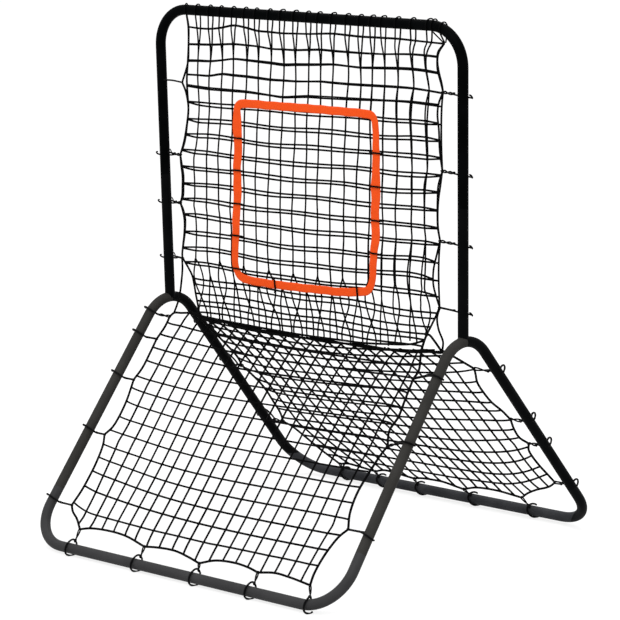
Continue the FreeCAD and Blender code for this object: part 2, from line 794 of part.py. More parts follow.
def make_net(label, left, right, low, high, placement):
    """Net of four-sided gaps as one holed face; left and right are lists of (level, half width)."""
    columns, rows = int(size("mesh_columns")), int(size("mesh_rows"))
    half = size("mesh_cord") / 2
    grid = []
    for row in range(rows + 1):
        level = low + (high - low) * row / rows
        start, end = -edge_at(left, level), edge_at(right, level)
        grid.append(
            [Vector(start + (end - start) * n / columns, level, -half) for n in range(columns + 1)]
        )
    outline = grid[0] + [line[-1] for line in grid[1:]] + grid[-1][-2::-1]
    outline += [line[0] for line in grid[-2::-1]]
    wires = [Part.makePolygon(outline)]
    for row in range(rows):
        bottom = half if row else 2 * half
        top = half if row < rows - 1 else 2 * half
        for column in range(columns):
            before = half if column else 2 * half
            after = half if column < columns - 1 else 2 * half
            corners = [
                grid[row][column] + Vector(before, bottom, 0),
                grid[row + 1][column] + Vector(before, -top, 0),
                grid[row + 1][column + 1] + Vector(-after, -top, 0),
                grid[row][column + 1] + Vector(-after, bottom, 0),
            ]
            wires.append(Part.makePolygon([*corners, corners[0]]))
    net = feature(label, Part.Face(wires).extrude(Vector(0, 0, 2 * half)))
    net.Placement = placement


def make_nets():
    left = sorted([(HEM_Z, HEM_X), (NET_TOP_Z, TOP_CORNER_X)]
                  + [(BAR_Z + rise, TIE_X) for rise in ties_of("left_upright")])
    right = sorted([(HEM_Z, HEM_X), (NET_TOP_Z, TOP_CORNER_X)]
                   + [(BAR_Z + rise, TIE_X) for rise in ties_of("right_upright")])
    for end_name, end in ENDS.items():
        upright_plane = frame_placement(Vector(0, end * SHEET_Y, 0), ACROSS, REARWARD * -1)
        low = HEM_Z + ROPE_R + GAP
        make_net(f"upper_net_{end_name}", left, right, low, NET_TOP_Z, upright_plane)
        ridge = Vector(0, 0, RIDGE_Z)
        bottom = slope_point(0, end, LEG_LENGTH - size("bottom_gap"))
        rise = unit(ridge - bottom)
        length = (ridge - bottom).Length
        slope_plane = frame_placement(bottom, ACROSS, ACROSS.cross(rise))
        sides = []
        for side_name in SIDES:
            ties = [
                ((slope_point(0, end, place) - bottom).dot(rise), TIE_X)
                for place in ties_of(f"{end_name}_{side_name}_leg")
            ]
            corner = max(abs(x) for x in ties_of(f"{end_name}_bar")
                         if x * SIDES[side_name] > 0)
            sides.append(sorted([(0.0, corner), (length, RIDGE_X), *ties]))
        high = length - size("ridge_rope") / 2 - GAP
        make_net(f"lower_net_{end_name}", sides[0], sides[1], NET_INSET, high, slope_plane)


def make_ridge_and_lacing():
    sizes = {"Radius": "sizes.ridge_rope / 2", "Height": "sizes.ridge_length"}
    start = Vector(-size("ridge_length") / 2, 0, RIDGE_Z)
    keep(primitive("Cylinder", "ridge_rope", sizes, frame_placement(start, REARWARD, ACROSS)),
         "ridge_rope")
    count = int(size("lacing_loops"))
    reach = TOP_CORNER_X - 5 * size("lacing_cord")
    loops = []
    for number in range(count):
        x = reach * (2 * number / (count - 1) - 1)
        sizes = {
            "Radius1": "sizes.tube_diameter / 2 + sizes.fit_gap + sizes.lacing_cord / 2",
            "Radius2": "sizes.lacing_cord / 2",
        }
        place = frame_placement(Vector(x, 0, TOP_Z), REARWARD, ACROSS)
        loops.append(primitive("Torus", f"lacing_loop_{number + 1}", sizes, place))
    keep(gather("top_lacing", loops), "top_lacing")


def make_target_band():
    """Flat band of webbing in front of the front net, with rounded corners."""
    width, height = size("target_width"), size("target_height")
    band, thickness = size("webbing_width"), size("webbing_thickness")
    body = doc.addObject("PartDesign::Body", "target_band")

    def add_box(kind, name, inset, value):
        box = body.newObject(f"PartDesign::{kind}", name)
        sides = (("Length", "target_width", width), ("Width", "target_height", height))
        for field, alias, length in sides:
            setattr(box, field, length - 2 * value)
            box.setExpression(field, f"sizes.{alias} - 2 * {inset}")
        box.Height = thickness
        box.setExpression("Height", "sizes.webbing_thickness")
        box.Placement.Base = Vector(value - width / 2, value - height / 2, 0)
        box.setExpression("Placement.Base.x", f"{inset} - sizes.target_width / 2")
        box.setExpression("Placement.Base.y", f"{inset} - sizes.target_height / 2")
        doc.recompute()
        return box

    def round_corners(base, name, reach, expression, radius):
        corners = [
            f"Edge{number}"
            for number, edge in enumerate(base.Shape.Edges, 1)
            if abs(edge.tangentAt(edge.FirstParameter).z) > 0.9
            and abs(abs(edge.CenterOfMass.x) - reach) < GAP
        ]
        fillet = body.newObject("PartDesign::Fillet", name)
        fillet.Base = (base, corners)
        fillet.Radius = radius
        fillet.setExpression("Radius", expression)
        doc.recompute()
        return fillet

    add_box("AdditiveBox", "outer_edge", "0", 0.0)
    ring = add_box("SubtractiveBox", "inner_edge", "sizes.webbing_width", band)
    corner = size("target_corner")
    ring = round_corners(ring, "outer_corners", width / 2, "sizes.target_corner", corner)
    inner_text = "sizes.target_corner - sizes.webbing_width"
    ring = round_corners(ring, "inner_corners", width / 2 - band, inner_text, corner - band)
    body.Tip = ring
    doc.recompute()
    front = SHEET_Y + size("mesh_cord") / 2 + GAP
    centre = Vector(0, -front, BAR_Z + size("target_rise"))
    body.Placement = frame_placement(centre, ACROSS, REARWARD * -1)
    keep(body, "target_band")


def tube_point(tube, place):
    """Point on a tube's centre line at a tie, with the directions of its hook there.

    The second value points from the tube to the net, the third to the side the hook passes.
    """
    if tube.endswith("upright"):
        side = SIDES[tube.split("_")[0]]
        axis = upright_direction(side)
        point = apex_point(side) + axis * ((BAR_Z + place - APEX_Z) / axis.z)
        inward = unit(ACROSS * -side - axis * axis.dot(ACROSS * -side))
        return point, inward, REARWARD
    end_name = tube.split("_")[0]
    end = ENDS[end_name]
    up = slope_point(0, end, 0) - slope_point(0, end, 1)
    outward = unit(Vector(0, end * SLOPE_UP, SLOPE_OUT))
    if tube.endswith("bar"):
        return Vector(place, end * FOOT_Y, BAR_Z), unit(up), outward
    side = SIDES[tube.split("_")[1]]
    axis = leg_direction(side, end)
    inward = unit(ACROSS * -side - axis * axis.dot(ACROSS * -side))
    return apex_point(side) + axis * place, inward, outward


def hook_roll(tube):
    if tube.endswith("bar"):
        return 0.0
    return size("upright_hook_roll") if tube.endswith("upright") else size("leg_hook_roll")


def make_hook(name, tube, point, inward, outward):
    """Open ring of wire round a tube, pulled against it by the tie."""
    start = math.radians(-size("hook_start") - hook_roll(tube))
    sizes = {
        "Radius1": "(sizes.hook_ring + sizes.hook_wire) / 2",
        "Radius2": "sizes.hook_wire / 2",
        "Angle3": "sizes.hook_sweep * 1 deg",
    }
    centre = point + inward * RING_SHIFT
    opening = inward * math.cos(start) + outward * math.sin(start)
    place = frame_placement(centre, opening, inward.cross(outward))
    return primitive("Torus", name, sizes, place)


def make_tie(name, hook_point, hook_axis, rope_places):
    """Elastic loop from a hook's wire to a rope, or to two ropes side by side."""
    rope_point = Vector(0, 0, 0)
    for place in rope_places:
        rope_point += place[0] * (1 / len(rope_places))
    rope_axis = rope_places[0][1]
    spread = SHEET_Y if len(rope_places) == 2 else 0.0
    spread_text = "sizes.sheet_offset" if len(rope_places) == 2 else "0"
    rope_ring = ROPE_R + spread + GAP + size("strand_diameter") / 2
    hook_loop = size("hook_wire") / 2 + GAP + size("strand_diameter") / 2
    ring_text = "sizes.fit_gap + sizes.strand_diameter / 2"
    run = hook_point - rope_point
    first = rope_point + unit(run - rope_axis * run.dot(rope_axis)) * rope_ring
    last = hook_point - unit(run - hook_axis * run.dot(hook_axis)) * hook_loop
    strand = last - first
    rope_loop = primitive(
        "Torus",
        f"{name}_rope_loop",
        {
            "Radius1": f"sizes.edge_rope / 2 + {spread_text} + {ring_text}",
            "Radius2": "sizes.strand_diameter / 2",
        },
        frame_placement(rope_point, unit(run).cross(rope_axis), rope_axis),
    )
    wire_loop = primitive(
        "Torus",
        f"{name}_hook_loop",
        {"Radius1": f"sizes.hook_wire / 2 + {ring_text}", "Radius2": "sizes.strand_diameter / 2"},
        frame_placement(hook_point, unit(run).cross(hook_axis), hook_axis),
    )
    cord = primitive(
        "Cylinder",
        f"{name}_cord",
        {"Radius": "sizes.strand_diameter * 0.75"},
        frame_placement(first, strand.cross(rope_axis), strand),
    )
    cord.Height = strand.Length
    return gather(name, [rope_loop, cord, wire_loop], "MultiFuse")


def make_ties(passes):
    """Hooks and elastic loops, one group of each for every tube."""
    for tube in TIES:
        hooks = []
        loops = []
        for number, place in enumerate(ties_of(tube), 1):
            point, inward, outward = tube_point(tube, place)
            hooks.append(make_hook(f"{tube}_hook_{number}", tube, point, inward, outward))
            wire = point + inward * (RING_SHIFT + RING_LINE_R)
            places = passes[f"{tube}_{number}"]
            loops.append(make_tie(f"{tube}_loop_{number}", wire, outward, places))
        keep(gather(f"hooks_{tube}", hooks), f"hooks_{tube}")
        keep(gather(f"elastic_ties_{tube}", loops), f"elastic_ties_{tube}")


make_frame()
make_nets()
make_target_band()
make_ridge_and_lacing()
make_ties(make_ropes())
doc.recompute()

for item in doc.Objects:
    if "Invalid" in item.State or "Error" in item.State:
        raise ValueError(f"{item.Label} has state {item.State}")
for node in nodes:
    if node.Shape.isNull() or not node.Shape.isValid() or not node.Shape.Solids:
        raise ValueError(f"{node.Label} has no valid shape")

os.makedirs("parts", exist_ok=True)
for node in nodes:
    node.Shape.exportStep(f"parts/{node.Label}.step")
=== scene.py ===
import math

import bpy
import numpy as np
from mathutils import Matrix, Vector


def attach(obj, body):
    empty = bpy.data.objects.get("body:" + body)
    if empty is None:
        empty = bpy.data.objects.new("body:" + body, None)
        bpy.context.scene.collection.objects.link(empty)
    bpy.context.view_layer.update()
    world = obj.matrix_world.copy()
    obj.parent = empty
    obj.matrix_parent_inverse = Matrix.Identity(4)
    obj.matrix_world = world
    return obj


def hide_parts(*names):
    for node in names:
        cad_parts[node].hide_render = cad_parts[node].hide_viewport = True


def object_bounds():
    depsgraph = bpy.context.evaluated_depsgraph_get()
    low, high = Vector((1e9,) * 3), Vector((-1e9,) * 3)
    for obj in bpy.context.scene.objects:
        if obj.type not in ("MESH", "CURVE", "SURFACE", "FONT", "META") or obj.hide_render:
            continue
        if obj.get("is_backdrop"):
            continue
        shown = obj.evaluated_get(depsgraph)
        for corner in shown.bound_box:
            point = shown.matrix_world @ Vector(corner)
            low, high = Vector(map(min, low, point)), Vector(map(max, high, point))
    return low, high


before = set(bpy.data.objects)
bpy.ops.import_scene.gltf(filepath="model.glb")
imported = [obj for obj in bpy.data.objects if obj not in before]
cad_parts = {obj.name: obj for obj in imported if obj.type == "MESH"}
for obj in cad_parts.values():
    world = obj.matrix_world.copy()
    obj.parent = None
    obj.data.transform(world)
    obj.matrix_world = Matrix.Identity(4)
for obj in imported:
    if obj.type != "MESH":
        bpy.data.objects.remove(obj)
cad_box = [list(corner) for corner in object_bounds()]
scene = bpy.context.scene

# Frame lines in millimetres, in the CAD frame.
BAR = 19.366  # height of the ground bars
APEX = 665.366  # height of the line in which the planes of the legs meet
OUT, DOWN = 0.63429, 0.77311  # the way of those planes, outwards and down
ARCH_X, FOOT_X, TOP_X = 525.0, 546.0, 533.5  # half widths at the apex, at the feet and at the top
FOOT_Y = 530.0
FRAME_RISE = 1387.0  # the top bar above the ground bars
TUBE_R = 14.0
SHEET_Y = 3.5  # half the gap between the two sheets of the upper net
CAMERA = np.array((5189.937, -5716.692, 2121.855))
MM = 0.001
TURN = 2 * math.pi

# Radii of the cords.
ROPE_R, RIGHT_ROPE_R, LOW_ROPE_R, RIDGE_R = 2.9, 2.75, 3.2, 3.0
ROW_R, TOP_ROW_R, COLUMN_R, LOW_CORD_R = 2.75, 2.5, 2.3, 2.75
LACE_R, STRAND_R, WIRE_R = 1.9, 2.2, 2.3


# Points.

def upright_at(x, rise, y=0.0):
    """Point seen at (x, rise) in the plane of the uprights, moved along its sight line to y."""
    point = np.array((x, 0.0, BAR + rise))
    return point + (CAMERA - point) * (y / CAMERA[1])


def leg_at(x, distance, end):
    """Point in the plane of the front or rear legs, a distance down from the apex line."""
    return np.array((x, end * distance * OUT, APEX - distance * DOWN))


def unit(v):
    return v / np.linalg.norm(v)


def smooth(knots, step=6.0):
    """Smooth line through the knots."""
    p = np.array(knots, float)
    span = np.linalg.norm(np.diff(p, axis=0), axis=1)
    keep = np.concatenate([[True], span > 1e-6])
    p = p[keep]
    span = span[span > 1e-6]
    if len(p) < 3:
        count = max(2, int(span.sum() / step) + 1)
        t = np.linspace(0, 1, count)[:, None]
        return p[0] + (p[-1] - p[0]) * t
    h = np.sqrt(span)
    slope = np.diff(p, axis=0) / h[:, None]
    m = np.empty_like(p)
    m[0], m[-1] = slope[0], slope[-1]
    a, b = h[:-1, None], h[1:, None]
    m[1:-1] = (slope[:-1] * b + slope[1:] * a) / (a + b)
    parts = []
    for n in range(len(p) - 1):
        count = max(2, int(math.ceil(span[n] / step)))
        s = np.linspace(0, 1, count, endpoint=False)[:, None]
        parts.append(
            (2 * s**3 - 3 * s**2 + 1) * p[n] + (s**3 - 2 * s**2 + s) * h[n] * m[n]
            + (3 * s**2 - 2 * s**3) * p[n + 1] + (s**3 - s**2) * h[n] * m[n + 1]
        )
    parts.append(p[-1:])
    return np.concatenate(parts)


def lengths(path):
    return np.concatenate([[0], np.cumsum(np.linalg.norm(np.diff(path, axis=0), axis=1))])


def ease(t):
    t = np.clip(t, 0, 1)
    return t * t * (3 - 2 * t)


def weights(knots, t):
    """Weight of each knot's value at t, for the polynomial through all of them."""
    return np.array([np.prod([(t - b) / (a - b) for b in knots if b != a]) for a in knots])


# Objects, and meshes of cords.

def add_object(name, data):
    obj = bpy.data.objects.new(name, data)
    scene.collection.objects.link(obj)
    return obj


class Strands:
    """Round cords, or rings of another form, gathered in one mesh; its UV map runs round and along them."""

    def __init__(self):
        self.points, self.faces, self.uvs, self.count = [], [], [], 0

    def skin(self, rings, along, across, closed, turned=False):
        """Quads between rings of points; across and along are their UVs."""
        rows, sides = rings.shape[:2]
        for row in range(rows if closed else rows - 1):
            low, high = self.count + row * sides, self.count + (row + 1) % rows * sides
            for n in range(sides):
                m = (n + 1) % sides
                face = (low + n, low + m, high + m, high + n)
                uv = (
                    (across[n], along[row]), (across[n + 1], along[row]),
                    (across[n + 1], along[row + 1]), (across[n], along[row + 1]),
                )
                if turned:
                    face, uv = face[:1] + face[:0:-1], uv[:1] + uv[:0:-1]
                self.faces.append(face)
                self.uvs += uv
        self.points.append(rings.reshape(-1, 3))
        self.count += rows * sides

    def add(self, path, radius, sides=7, closed=False):
        """Round cord along a path; open ones get flat ends."""
        p = np.asarray(path, float)
        tangent = np.roll(p, -1, 0) - np.roll(p, 1, 0) if closed else np.gradient(p, axis=0)
        tangent /= np.linalg.norm(tangent, axis=1)[:, None]
        side = np.linalg.eigh(tangent.T @ tangent)[1][:, 0]
        normal = side - (tangent @ side)[:, None] * tangent
        normal /= np.linalg.norm(normal, axis=1)[:, None]
        other = np.cross(tangent, normal)
        angle = np.arange(sides) * (TURN / sides)
        size = np.broadcast_to(np.asarray(radius, float), (len(p),))[:, None, None]
        to_normal, to_other = np.cos(angle)[None, :, None], np.sin(angle)[None, :, None]
        ring = to_normal * normal[:, None] + to_other * other[:, None]
        along = lengths(np.concatenate([p, p[:1]]) if closed else p) * MM
        first = self.count
        self.skin(p[:, None] + ring * size, along, [n / sides for n in range(sides + 1)], closed)
        if not closed:
            for start, turn in ((first, -1), (self.count - sides, 1)):
                self.faces.append(tuple(range(start, start + sides))[::turn])
                self.uvs += [(0.5, 0.0)] * sides

    def knot(self, centre, along, size):
        """Small knot where two cords cross."""
        a = unit(np.asarray(along, float))
        path = [centre + a * size * place for place in (-1, -0.55, 0, 0.55, 1)]
        self.add(path, np.array((0.35, 0.8, 1.0, 0.8, 0.35)) * size * 0.95, 6)

    def piece(self, name, material, slot, *nodes):
        """Piece that rides on the frame and stands for the nodes that are named."""
        mesh = bpy.data.meshes.new(name)
        mesh.from_pydata((np.concatenate(self.points) * MM).tolist(), [], self.faces)
        layer = mesh.uv_layers.new(name="UVMap")
        layer.data.foreach_set("uv", np.array(self.uvs, dtype=np.float32).ravel())
        mesh.polygons.foreach_set("use_smooth", [True] * len(mesh.polygons))
        mesh.materials.append(material)
        mesh.update()
        obj = add_object(name, mesh)
        if nodes:
            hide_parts(*nodes)
        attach(obj, "frame")


# Materials.

def srgb(*values):
    """Linear colour with full alpha from values of 0 to 255."""
    linear = [((v / 255 + 0.055) / 1.055) ** 2.4 if v > 10 else v / 255 / 12.92 for v in values]
    return (*linear, 1.0)


class Tree:
    """Node tree of a material or world."""

    def __init__(self, owner, output):
        owner.use_nodes = True
        self.nodes, self.links = owner.node_tree.nodes, owner.node_tree.links
        self.nodes.clear()
        self.output = self.nodes.new(output).inputs[0]

    def put(self, socket, value):
        """Link the socket to a node's output, or give it a value of its own."""
        if isinstance(value, bpy.types.NodeSocket):
            self.links.new(value, socket)
        else:
            socket.default_value = value

    def node(self, kind, *values, **named):
        """New node with its first inputs, then inputs by their names."""
        made = self.nodes.new(kind)
        for socket, value in zip(made.inputs, values):
            self.put(socket, value)
        for key, value in named.items():
            self.put(made.inputs[key], value)
        return made

    def math(self, operation, a, b=0.0):
        made = self.node("ShaderNodeMath", a, b)
        made.operation = operation
        return made.outputs[0]

    def last(self, made):
        """Give the tree's output the last node."""
        self.put(self.output, made.outputs[0])


class Recipe(Tree):
    """Principled material with what its looks are made from at hand."""

    def __init__(self, name):
        self.material = bpy.data.materials.new(name)
        super().__init__(self.material, "ShaderNodeOutputMaterial")
        self.shader = self.nodes.new("ShaderNodeBsdfPrincipled")
        self.last(self.shader)

    def coordinates(self, output="Object"):
        return self.node("ShaderNodeTexCoord").outputs[output]

    def parts(self, output="Object"):
        return self.node("ShaderNodeSeparateXYZ", self.coordinates(output)).outputs

    def times(self, a, b):
        return self.math("MULTIPLY", a, b)

    def wave(self, value, rate):
        return self.math("SINE", self.times(value, rate))

    def noise(self, scale, detail=2.0, vector=None):
        place = vector or self.coordinates()
        return self.node("ShaderNodeTexNoise", Scale=scale, Detail=detail, Roughness=0.5, Vector=place).outputs[0]

    def remap(self, value, low, high, start=0.0, end=1.0):
        return self.node("ShaderNodeMapRange", value, start, end, low, high).outputs[0]

    def blend(self, factor, first, second):
        made = self.nodes.new("ShaderNodeMix")
        made.data_type = "RGBA"
        for n, value in ((0, factor), (6, first), (7, second)):
            self.put(made.inputs[n], value)
        return made.outputs[2]

    def done(self, height, depth, strength, **inputs):
        """Give the shader its bump and inputs."""
        bump = self.node("ShaderNodeBump", Strength=strength, Distance=depth, Height=height)
        for key, value in {"Normal": bump.outputs[0], **inputs}.items():
            self.put(self.shader.inputs[key.replace("_", " ")], value)
        return self.material


def braid_material(name, dark, light, pitch, strands, gloss):
    """Braided cord: crossing ridges round and along it, with uneven wear."""
    r = Recipe(name)
    uv = r.parts("UV")
    around = r.times(uv[0], TURN * strands)
    along = r.times(uv[1], TURN / pitch)
    one = r.math("SINE", r.math("ADD", around, along))
    two = r.math("SINE", r.math("SUBTRACT", around, along))
    weave = r.math("MAXIMUM", one, two)
    worn = r.noise(90.0, 3.0)
    tone = r.times(r.remap(weave, 0.35, 1.0, -1.0, 1.0), r.remap(worn, 0.4, 1.0, 0.3, 0.7))
    return r.done(weave, 0.0004, 0.6, Base_Color=r.blend(tone, dark, light), Roughness=r.remap(worn, 0.62, 0.85),
                  Specular_IOR_Level=gloss)


def coat_material(name, colour, paler, gloss, second=None, where=None):
    """Powder coat: fine orange peel and slight mottling; where the mask says, a second pair of colours is laid on as
    painted light.
    """
    r = Recipe(name)
    peel = r.noise(900.0)
    mottling = r.remap(r.noise(14.0, 3.0), 0.0, 1.0, 0.35, 0.65)
    base = r.blend(mottling, colour, paler)
    # The second colours are painted light on the coat, laid where the mask says.
    if second:
        base = r.blend(where(r, r.parts()), base, r.blend(mottling, *second))
    fine = r.noise(2600.0, 1.0)
    return r.done(peel, 0.0002, 0.25, Base_Color=r.blend(r.remap(fine, 0.0, 0.5, 0.45, 0.75), base, paler),
                  Roughness=r.remap(peel, 0.42, 0.62, 0.3, 0.7), Specular_IOR_Level=gloss)


def metal_material(name, colour, low, high):
    """Drawn or pressed steel with fine lines and uneven polish."""
    r = Recipe(name)
    stretched = r.node("ShaderNodeMapping", Vector=r.coordinates(), Scale=(1.0, 1.0, 14.0)).outputs[0]
    lines = r.noise(420.0, 3.0, stretched)
    spots = r.noise(60.0)
    darker = tuple(v * 0.6 for v in colour[:3]) + (1.0,)
    return r.done(lines, 0.0001, 0.3, Base_Color=r.blend(r.remap(spots, 0.0, 0.6, 0.4, 0.8), colour, darker),
                  Metallic=1.0, Roughness=r.remap(lines, low, high, 0.3, 0.7))


def webbing_material():
    """Flat woven polyester band with two sewn lines; UV runs across 0 to 1 and along in metres."""
    rib_count, pick_pitch, stitch_pitch = 17, 0.0016, 0.0045
    r = Recipe("orange_webbing")
    uv = r.parts("UV")
    weave = r.times(r.wave(uv[0], TURN * rib_count), r.wave(uv[1], TURN / pick_pitch))
    fleck = r.noise(260.0, 3.0)
    broad = r.noise(9.0)
    tone = r.math("ADD", r.remap(weave, 0.0, 0.35, -1.0, 1.0), r.remap(fleck, 0.0, 0.55, 0.3, 0.7))
    edge = r.math("ABSOLUTE", r.math("SUBTRACT", uv[0], 0.5))
    rim = r.math("GREATER_THAN", edge, 0.465)
    seam = r.times(r.math("GREATER_THAN", edge, 0.365), r.math("LESS_THAN", edge, 0.395))
    dash = r.math("GREATER_THAN", r.wave(uv[1], TURN / stitch_pitch), -0.35)
    thread = r.times(seam, dash)
    base = r.blend(tone, srgb(238, 78, 28), srgb(250, 95, 38))
    base = r.blend(r.remap(broad, 0.0, 0.18, 0.35, 0.65), base, srgb(228, 72, 24))
    base = r.blend(r.times(rim, 0.35), base, srgb(212, 62, 22))
    base = r.blend(r.times(thread, 0.55), base, srgb(252, 120, 62))
    height = r.math("ADD", r.times(weave, 0.5), r.times(thread, 1.2))
    return r.done(height, 0.0003, 0.5, Base_Color=base, Roughness=r.remap(fleck, 0.7, 0.92), Specular_IOR_Level=0.03)


BLACK_COAT = srgb(4, 5, 6), srgb(9, 10, 11)
net_black = braid_material("net_cord", srgb(3, 3, 3), srgb(15, 15, 16), 0.0045, 3, 0.02)
rope_black = braid_material("rope", srgb(3, 3, 3), srgb(16, 16, 17), 0.0062, 4, 0.02)
elastic_black = braid_material("elastic_cord", srgb(5, 5, 5), srgb(26, 26, 27), 0.0035, 4, 0.03)
webbing_orange = webbing_material()
coat_black = coat_material("coat_black", *BLACK_COAT, 0.02)
# The top bow's coat is darker than the black coat of the same tube: painted shade.
bow_painted_shade = coat_material("bow_painted_shade", srgb(1, 2, 2), srgb(5, 6, 7), 0.012)
# The front half of each side arch is painted paler grey as painted light, from the top of the bend; the rear half
# keeps the black coat.
arch_painted_light = coat_material("arch_painted_light", *BLACK_COAT, 0.02,
                          (srgb(54, 53, 51), srgb(61, 60, 58)),
                          lambda r, place: r.math("LESS_THAN", place[1], -0.0005))
# The front bar's grey is painted light on a black tube.
front_bar_painted_light = coat_material("front_bar_painted_light", srgb(54, 54, 55), srgb(61, 61, 62), 0.06)
# The rear bar is painted grey along the floor as painted light, and keeps the black coat on its bends.
rear_bar_painted_light = coat_material(
    "rear_bar_painted_light", *BLACK_COAT, 0.03, (srgb(53, 54, 57), srgb(66, 67, 70)),
    lambda r, place: r.times(
        r.math("LESS_THAN", r.math("SUBTRACT", place[0], r.times(place[2], 0.68)), 0.4653),
        r.math("LESS_THAN", place[2], 0.064)))
wire_black = coat_material("hook_wire", srgb(4, 4, 5), srgb(12, 12, 13), 0.05)
steel_sleeve = metal_material("sleeve_steel", (0.42, 0.43, 0.44, 1.0), 0.28, 0.45)
steel_button = metal_material("button_steel", (0.55, 0.56, 0.57, 1.0), 0.16, 0.3)
steel_spring = metal_material("spring_steel", (0.34, 0.35, 0.37, 1.0), 0.25, 0.4)

NODE_FINISH = {
    "top_bow": bow_painted_shade, "upright_left": coat_black, "upright_right": coat_black,
    "side_arch_left": arch_painted_light, "side_arch_right": arch_painted_light,
    "front_ground_bar": front_bar_painted_light, "rear_ground_bar": rear_bar_painted_light,
}
for name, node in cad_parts.items():
    if name in NODE_FINISH:
        finish = NODE_FINISH[name]
    elif name.startswith("snap_button"):
        finish = steel_button
    elif name.startswith("button_spring"):
        finish = steel_spring
    elif "sleeve" in name or "spigot" in name:
        finish = steel_sleeve
    else:
        continue
    node.data.materials.clear()
    node.data.materials.append(finish)


# Camera.

azimuth, elevation, roll = 0.73716, 0.19118, -0.01978  # radians
back = np.array((
    math.sin(azimuth) * math.cos(elevation),
    -math.cos(azimuth) * math.cos(elevation),
    math.sin(elevation),
))
level = np.array((math.cos(azimuth), math.sin(azimuth), 0.0))
upward = np.cross(back, level)
right = level * math.cos(roll) + upward * math.sin(roll)
above = -level * math.sin(roll) + upward * math.cos(roll)
facing = Matrix([[right[n], above[n], back[n]] for n in range(3)]).to_4x4()
camera = add_object("camera", bpy.data.cameras.new("camera"))
camera.data.lens = 171.525
camera.data.sensor_width = 36.0
camera.data.clip_start, camera.data.clip_end = 0.1, 100.0
camera.matrix_world = Matrix.Translation(Vector(CAMERA * MM)) @ facing
scene.camera = camera


# Ropes. A rope is a row of spans: each starts on a tie and ends on the first point of the next one.
# A point is (x, rise) on the upper net, (x, distance down the leg) on a lower net, or (x, y, rise) between them.

def knot_at(end, x, *place):
    if len(place) == 2:
        return np.array((x, place[0], BAR + place[1]), float)
    return leg_at(x, *place, end) if end else upright_at(x, *place)


def rope_path(spans, end=None):
    """Smooth line with a corner at each tie."""
    runs = [[knot_at(end, *point) for point in span] for span in spans]
    lines = [smooth(run + after[:1]) for run, after in zip(runs, runs[1:])]
    return np.concatenate([line[:-1] for line in lines[:-1]] + [lines[-1]])


UPPER_LEFT = (
    ((-430, 1373), (-425, 1341), (-426, 1292), (-430, 1245)),
    ((-454, 1188), (-441, 1163), (-433, 1119), (-440, 1072), (-451, 1024)),
    ((-469, 988), (-464, 960), (-459, 932), (-460, 904), (-463, 872)),
    ((-474, 854), (-464, 837), (-457, 814), (-457, 794), (-461, 765), (-467, 738), (-472, 714)), ((-472, 700),),
)
UPPER_LEFT_REAR = (
    ((-430, 1373), (-424, 1341), (-426, 1292), (-432, 1234), (-436, 1196), (-435, 1160), (-433, 1119),
     (-441, 1072), (-454, 1024)),
    ((-469, 988), (-467, 960), (-463, 930), (-464, 904), (-467, 872)),
    ((-474, 854), (-467, 837), (-461, 814), (-460, 794), (-463, 765), (-468, 738), (-472, 714)), ((-472, 700),),
)
# Both right ropes: (x of the front one, x of the rear one, rise).
UPPER_RIGHTS = (
    ((473, 473, 1344), (452, 455, 1321), (449, 450, 1301), (450, 453, 1276), (462, 464, 1239)),
    ((467, 467, 1221), (452, 463, 1190), (448, 461, 1162), (452, 460, 1124), (454, 460, 1072)),
    ((462, 462, 1020), (448, 455, 981), (445, 448, 944), (444, 445, 905), (445, 446, 872)),
    ((452, 452, 839), (440, 448, 801), (429, 446, 762), (428, 446, 723), (438, 447, 691)), ((448, 448, 666),),
)
UPPER_RIGHT, UPPER_RIGHT_REAR = ([[(p[n], p[2]) for p in span] for span in UPPER_RIGHTS] for n in (0, 1))
# The ropes leave the uprights' plane below the last tie, two to the front net and two to the rear net.
LEFT_TO_FRONT = (
    ((-472, 0, 700), (-472, 0, 669), (-470, -8, 632), (-464, -20, 607), (-459, -35, 582)), ((-457, -52, 557),),
)
LEFT_TO_REAR = (
    ((-472, 0, 700), (-453, 4, 671), (-446, 9, 652), (-446, 15, 629), (-447, 22, 598), (-449, 30, 571)),
    ((-451, 40, 530),),
)
RIGHT_TO_FRONT = (
    ((448, 0, 666), (438, -3, 642), (438, -22, 620), (440, -43, 600), (445, -66, 576)), ((450, -79, 561),),
)
RIGHT_TO_REAR = (
    ((448, 0, 666), (438, 0, 638), (442, 0, 609), (455, 2, 577)), ((452, 3, 556),),
)
FRONT_LEFT = (
    ((-447, 0, 549), (-458, -25, 551), (-457, -52, 556)), ((-450, 123), (-449, 155)),
    ((-457, 196), (-456, 241), (-457, 289)), ((-467, 327), (-462, 352), (-455, 394), (-454, 445), (-459, 476)),
    ((-474, 500), (-461, 531), (-454, 586), (-454, 628), (-457, 672)), ((-466, 717),),
)
FRONT_BOTTOM = (
    ((-466, 717), (-450, 735), (-425, 751)), ((-396, 778), (-362, 769), (-298, 764), (-229, 767)),
    ((-149, 784), (-102, 778), (-42, 776), (6, 783)), ((56, 794), (103, 777), (170, 771), (220, 775)),
    ((255, 782), (308, 773), (359, 775)), ((433, 783),),
)
FRONT_RIGHT = (
    ((449, 0, 556), (442, -15, 580), (438, -30, 598), (440, -43, 600), (445, -66, 576), (450, -79, 561),
     (462, 163)),
    ((457, 186), (461, 245), (465, 298), (457, 339)),
    ((473, 380), (463, 414), (454, 461), (447, 512), (448, 548), (454, 581)),
    ((470, 619), (453, 642), (440, 677), (432, 714), (429, 755)), ((433, 783),),
)
REAR_LEFT = (
    ((-447, 0, 549), (-450, 25, 538), (-452, 43, 526), (-460, 96, 484), (-468, 155, 436), (-474, 212, 385)),
    ((-483, 378), (-468, 411), (-455, 451), (-452, 484), (-455, 531), (-459, 582)), ((-473, 624),),
)
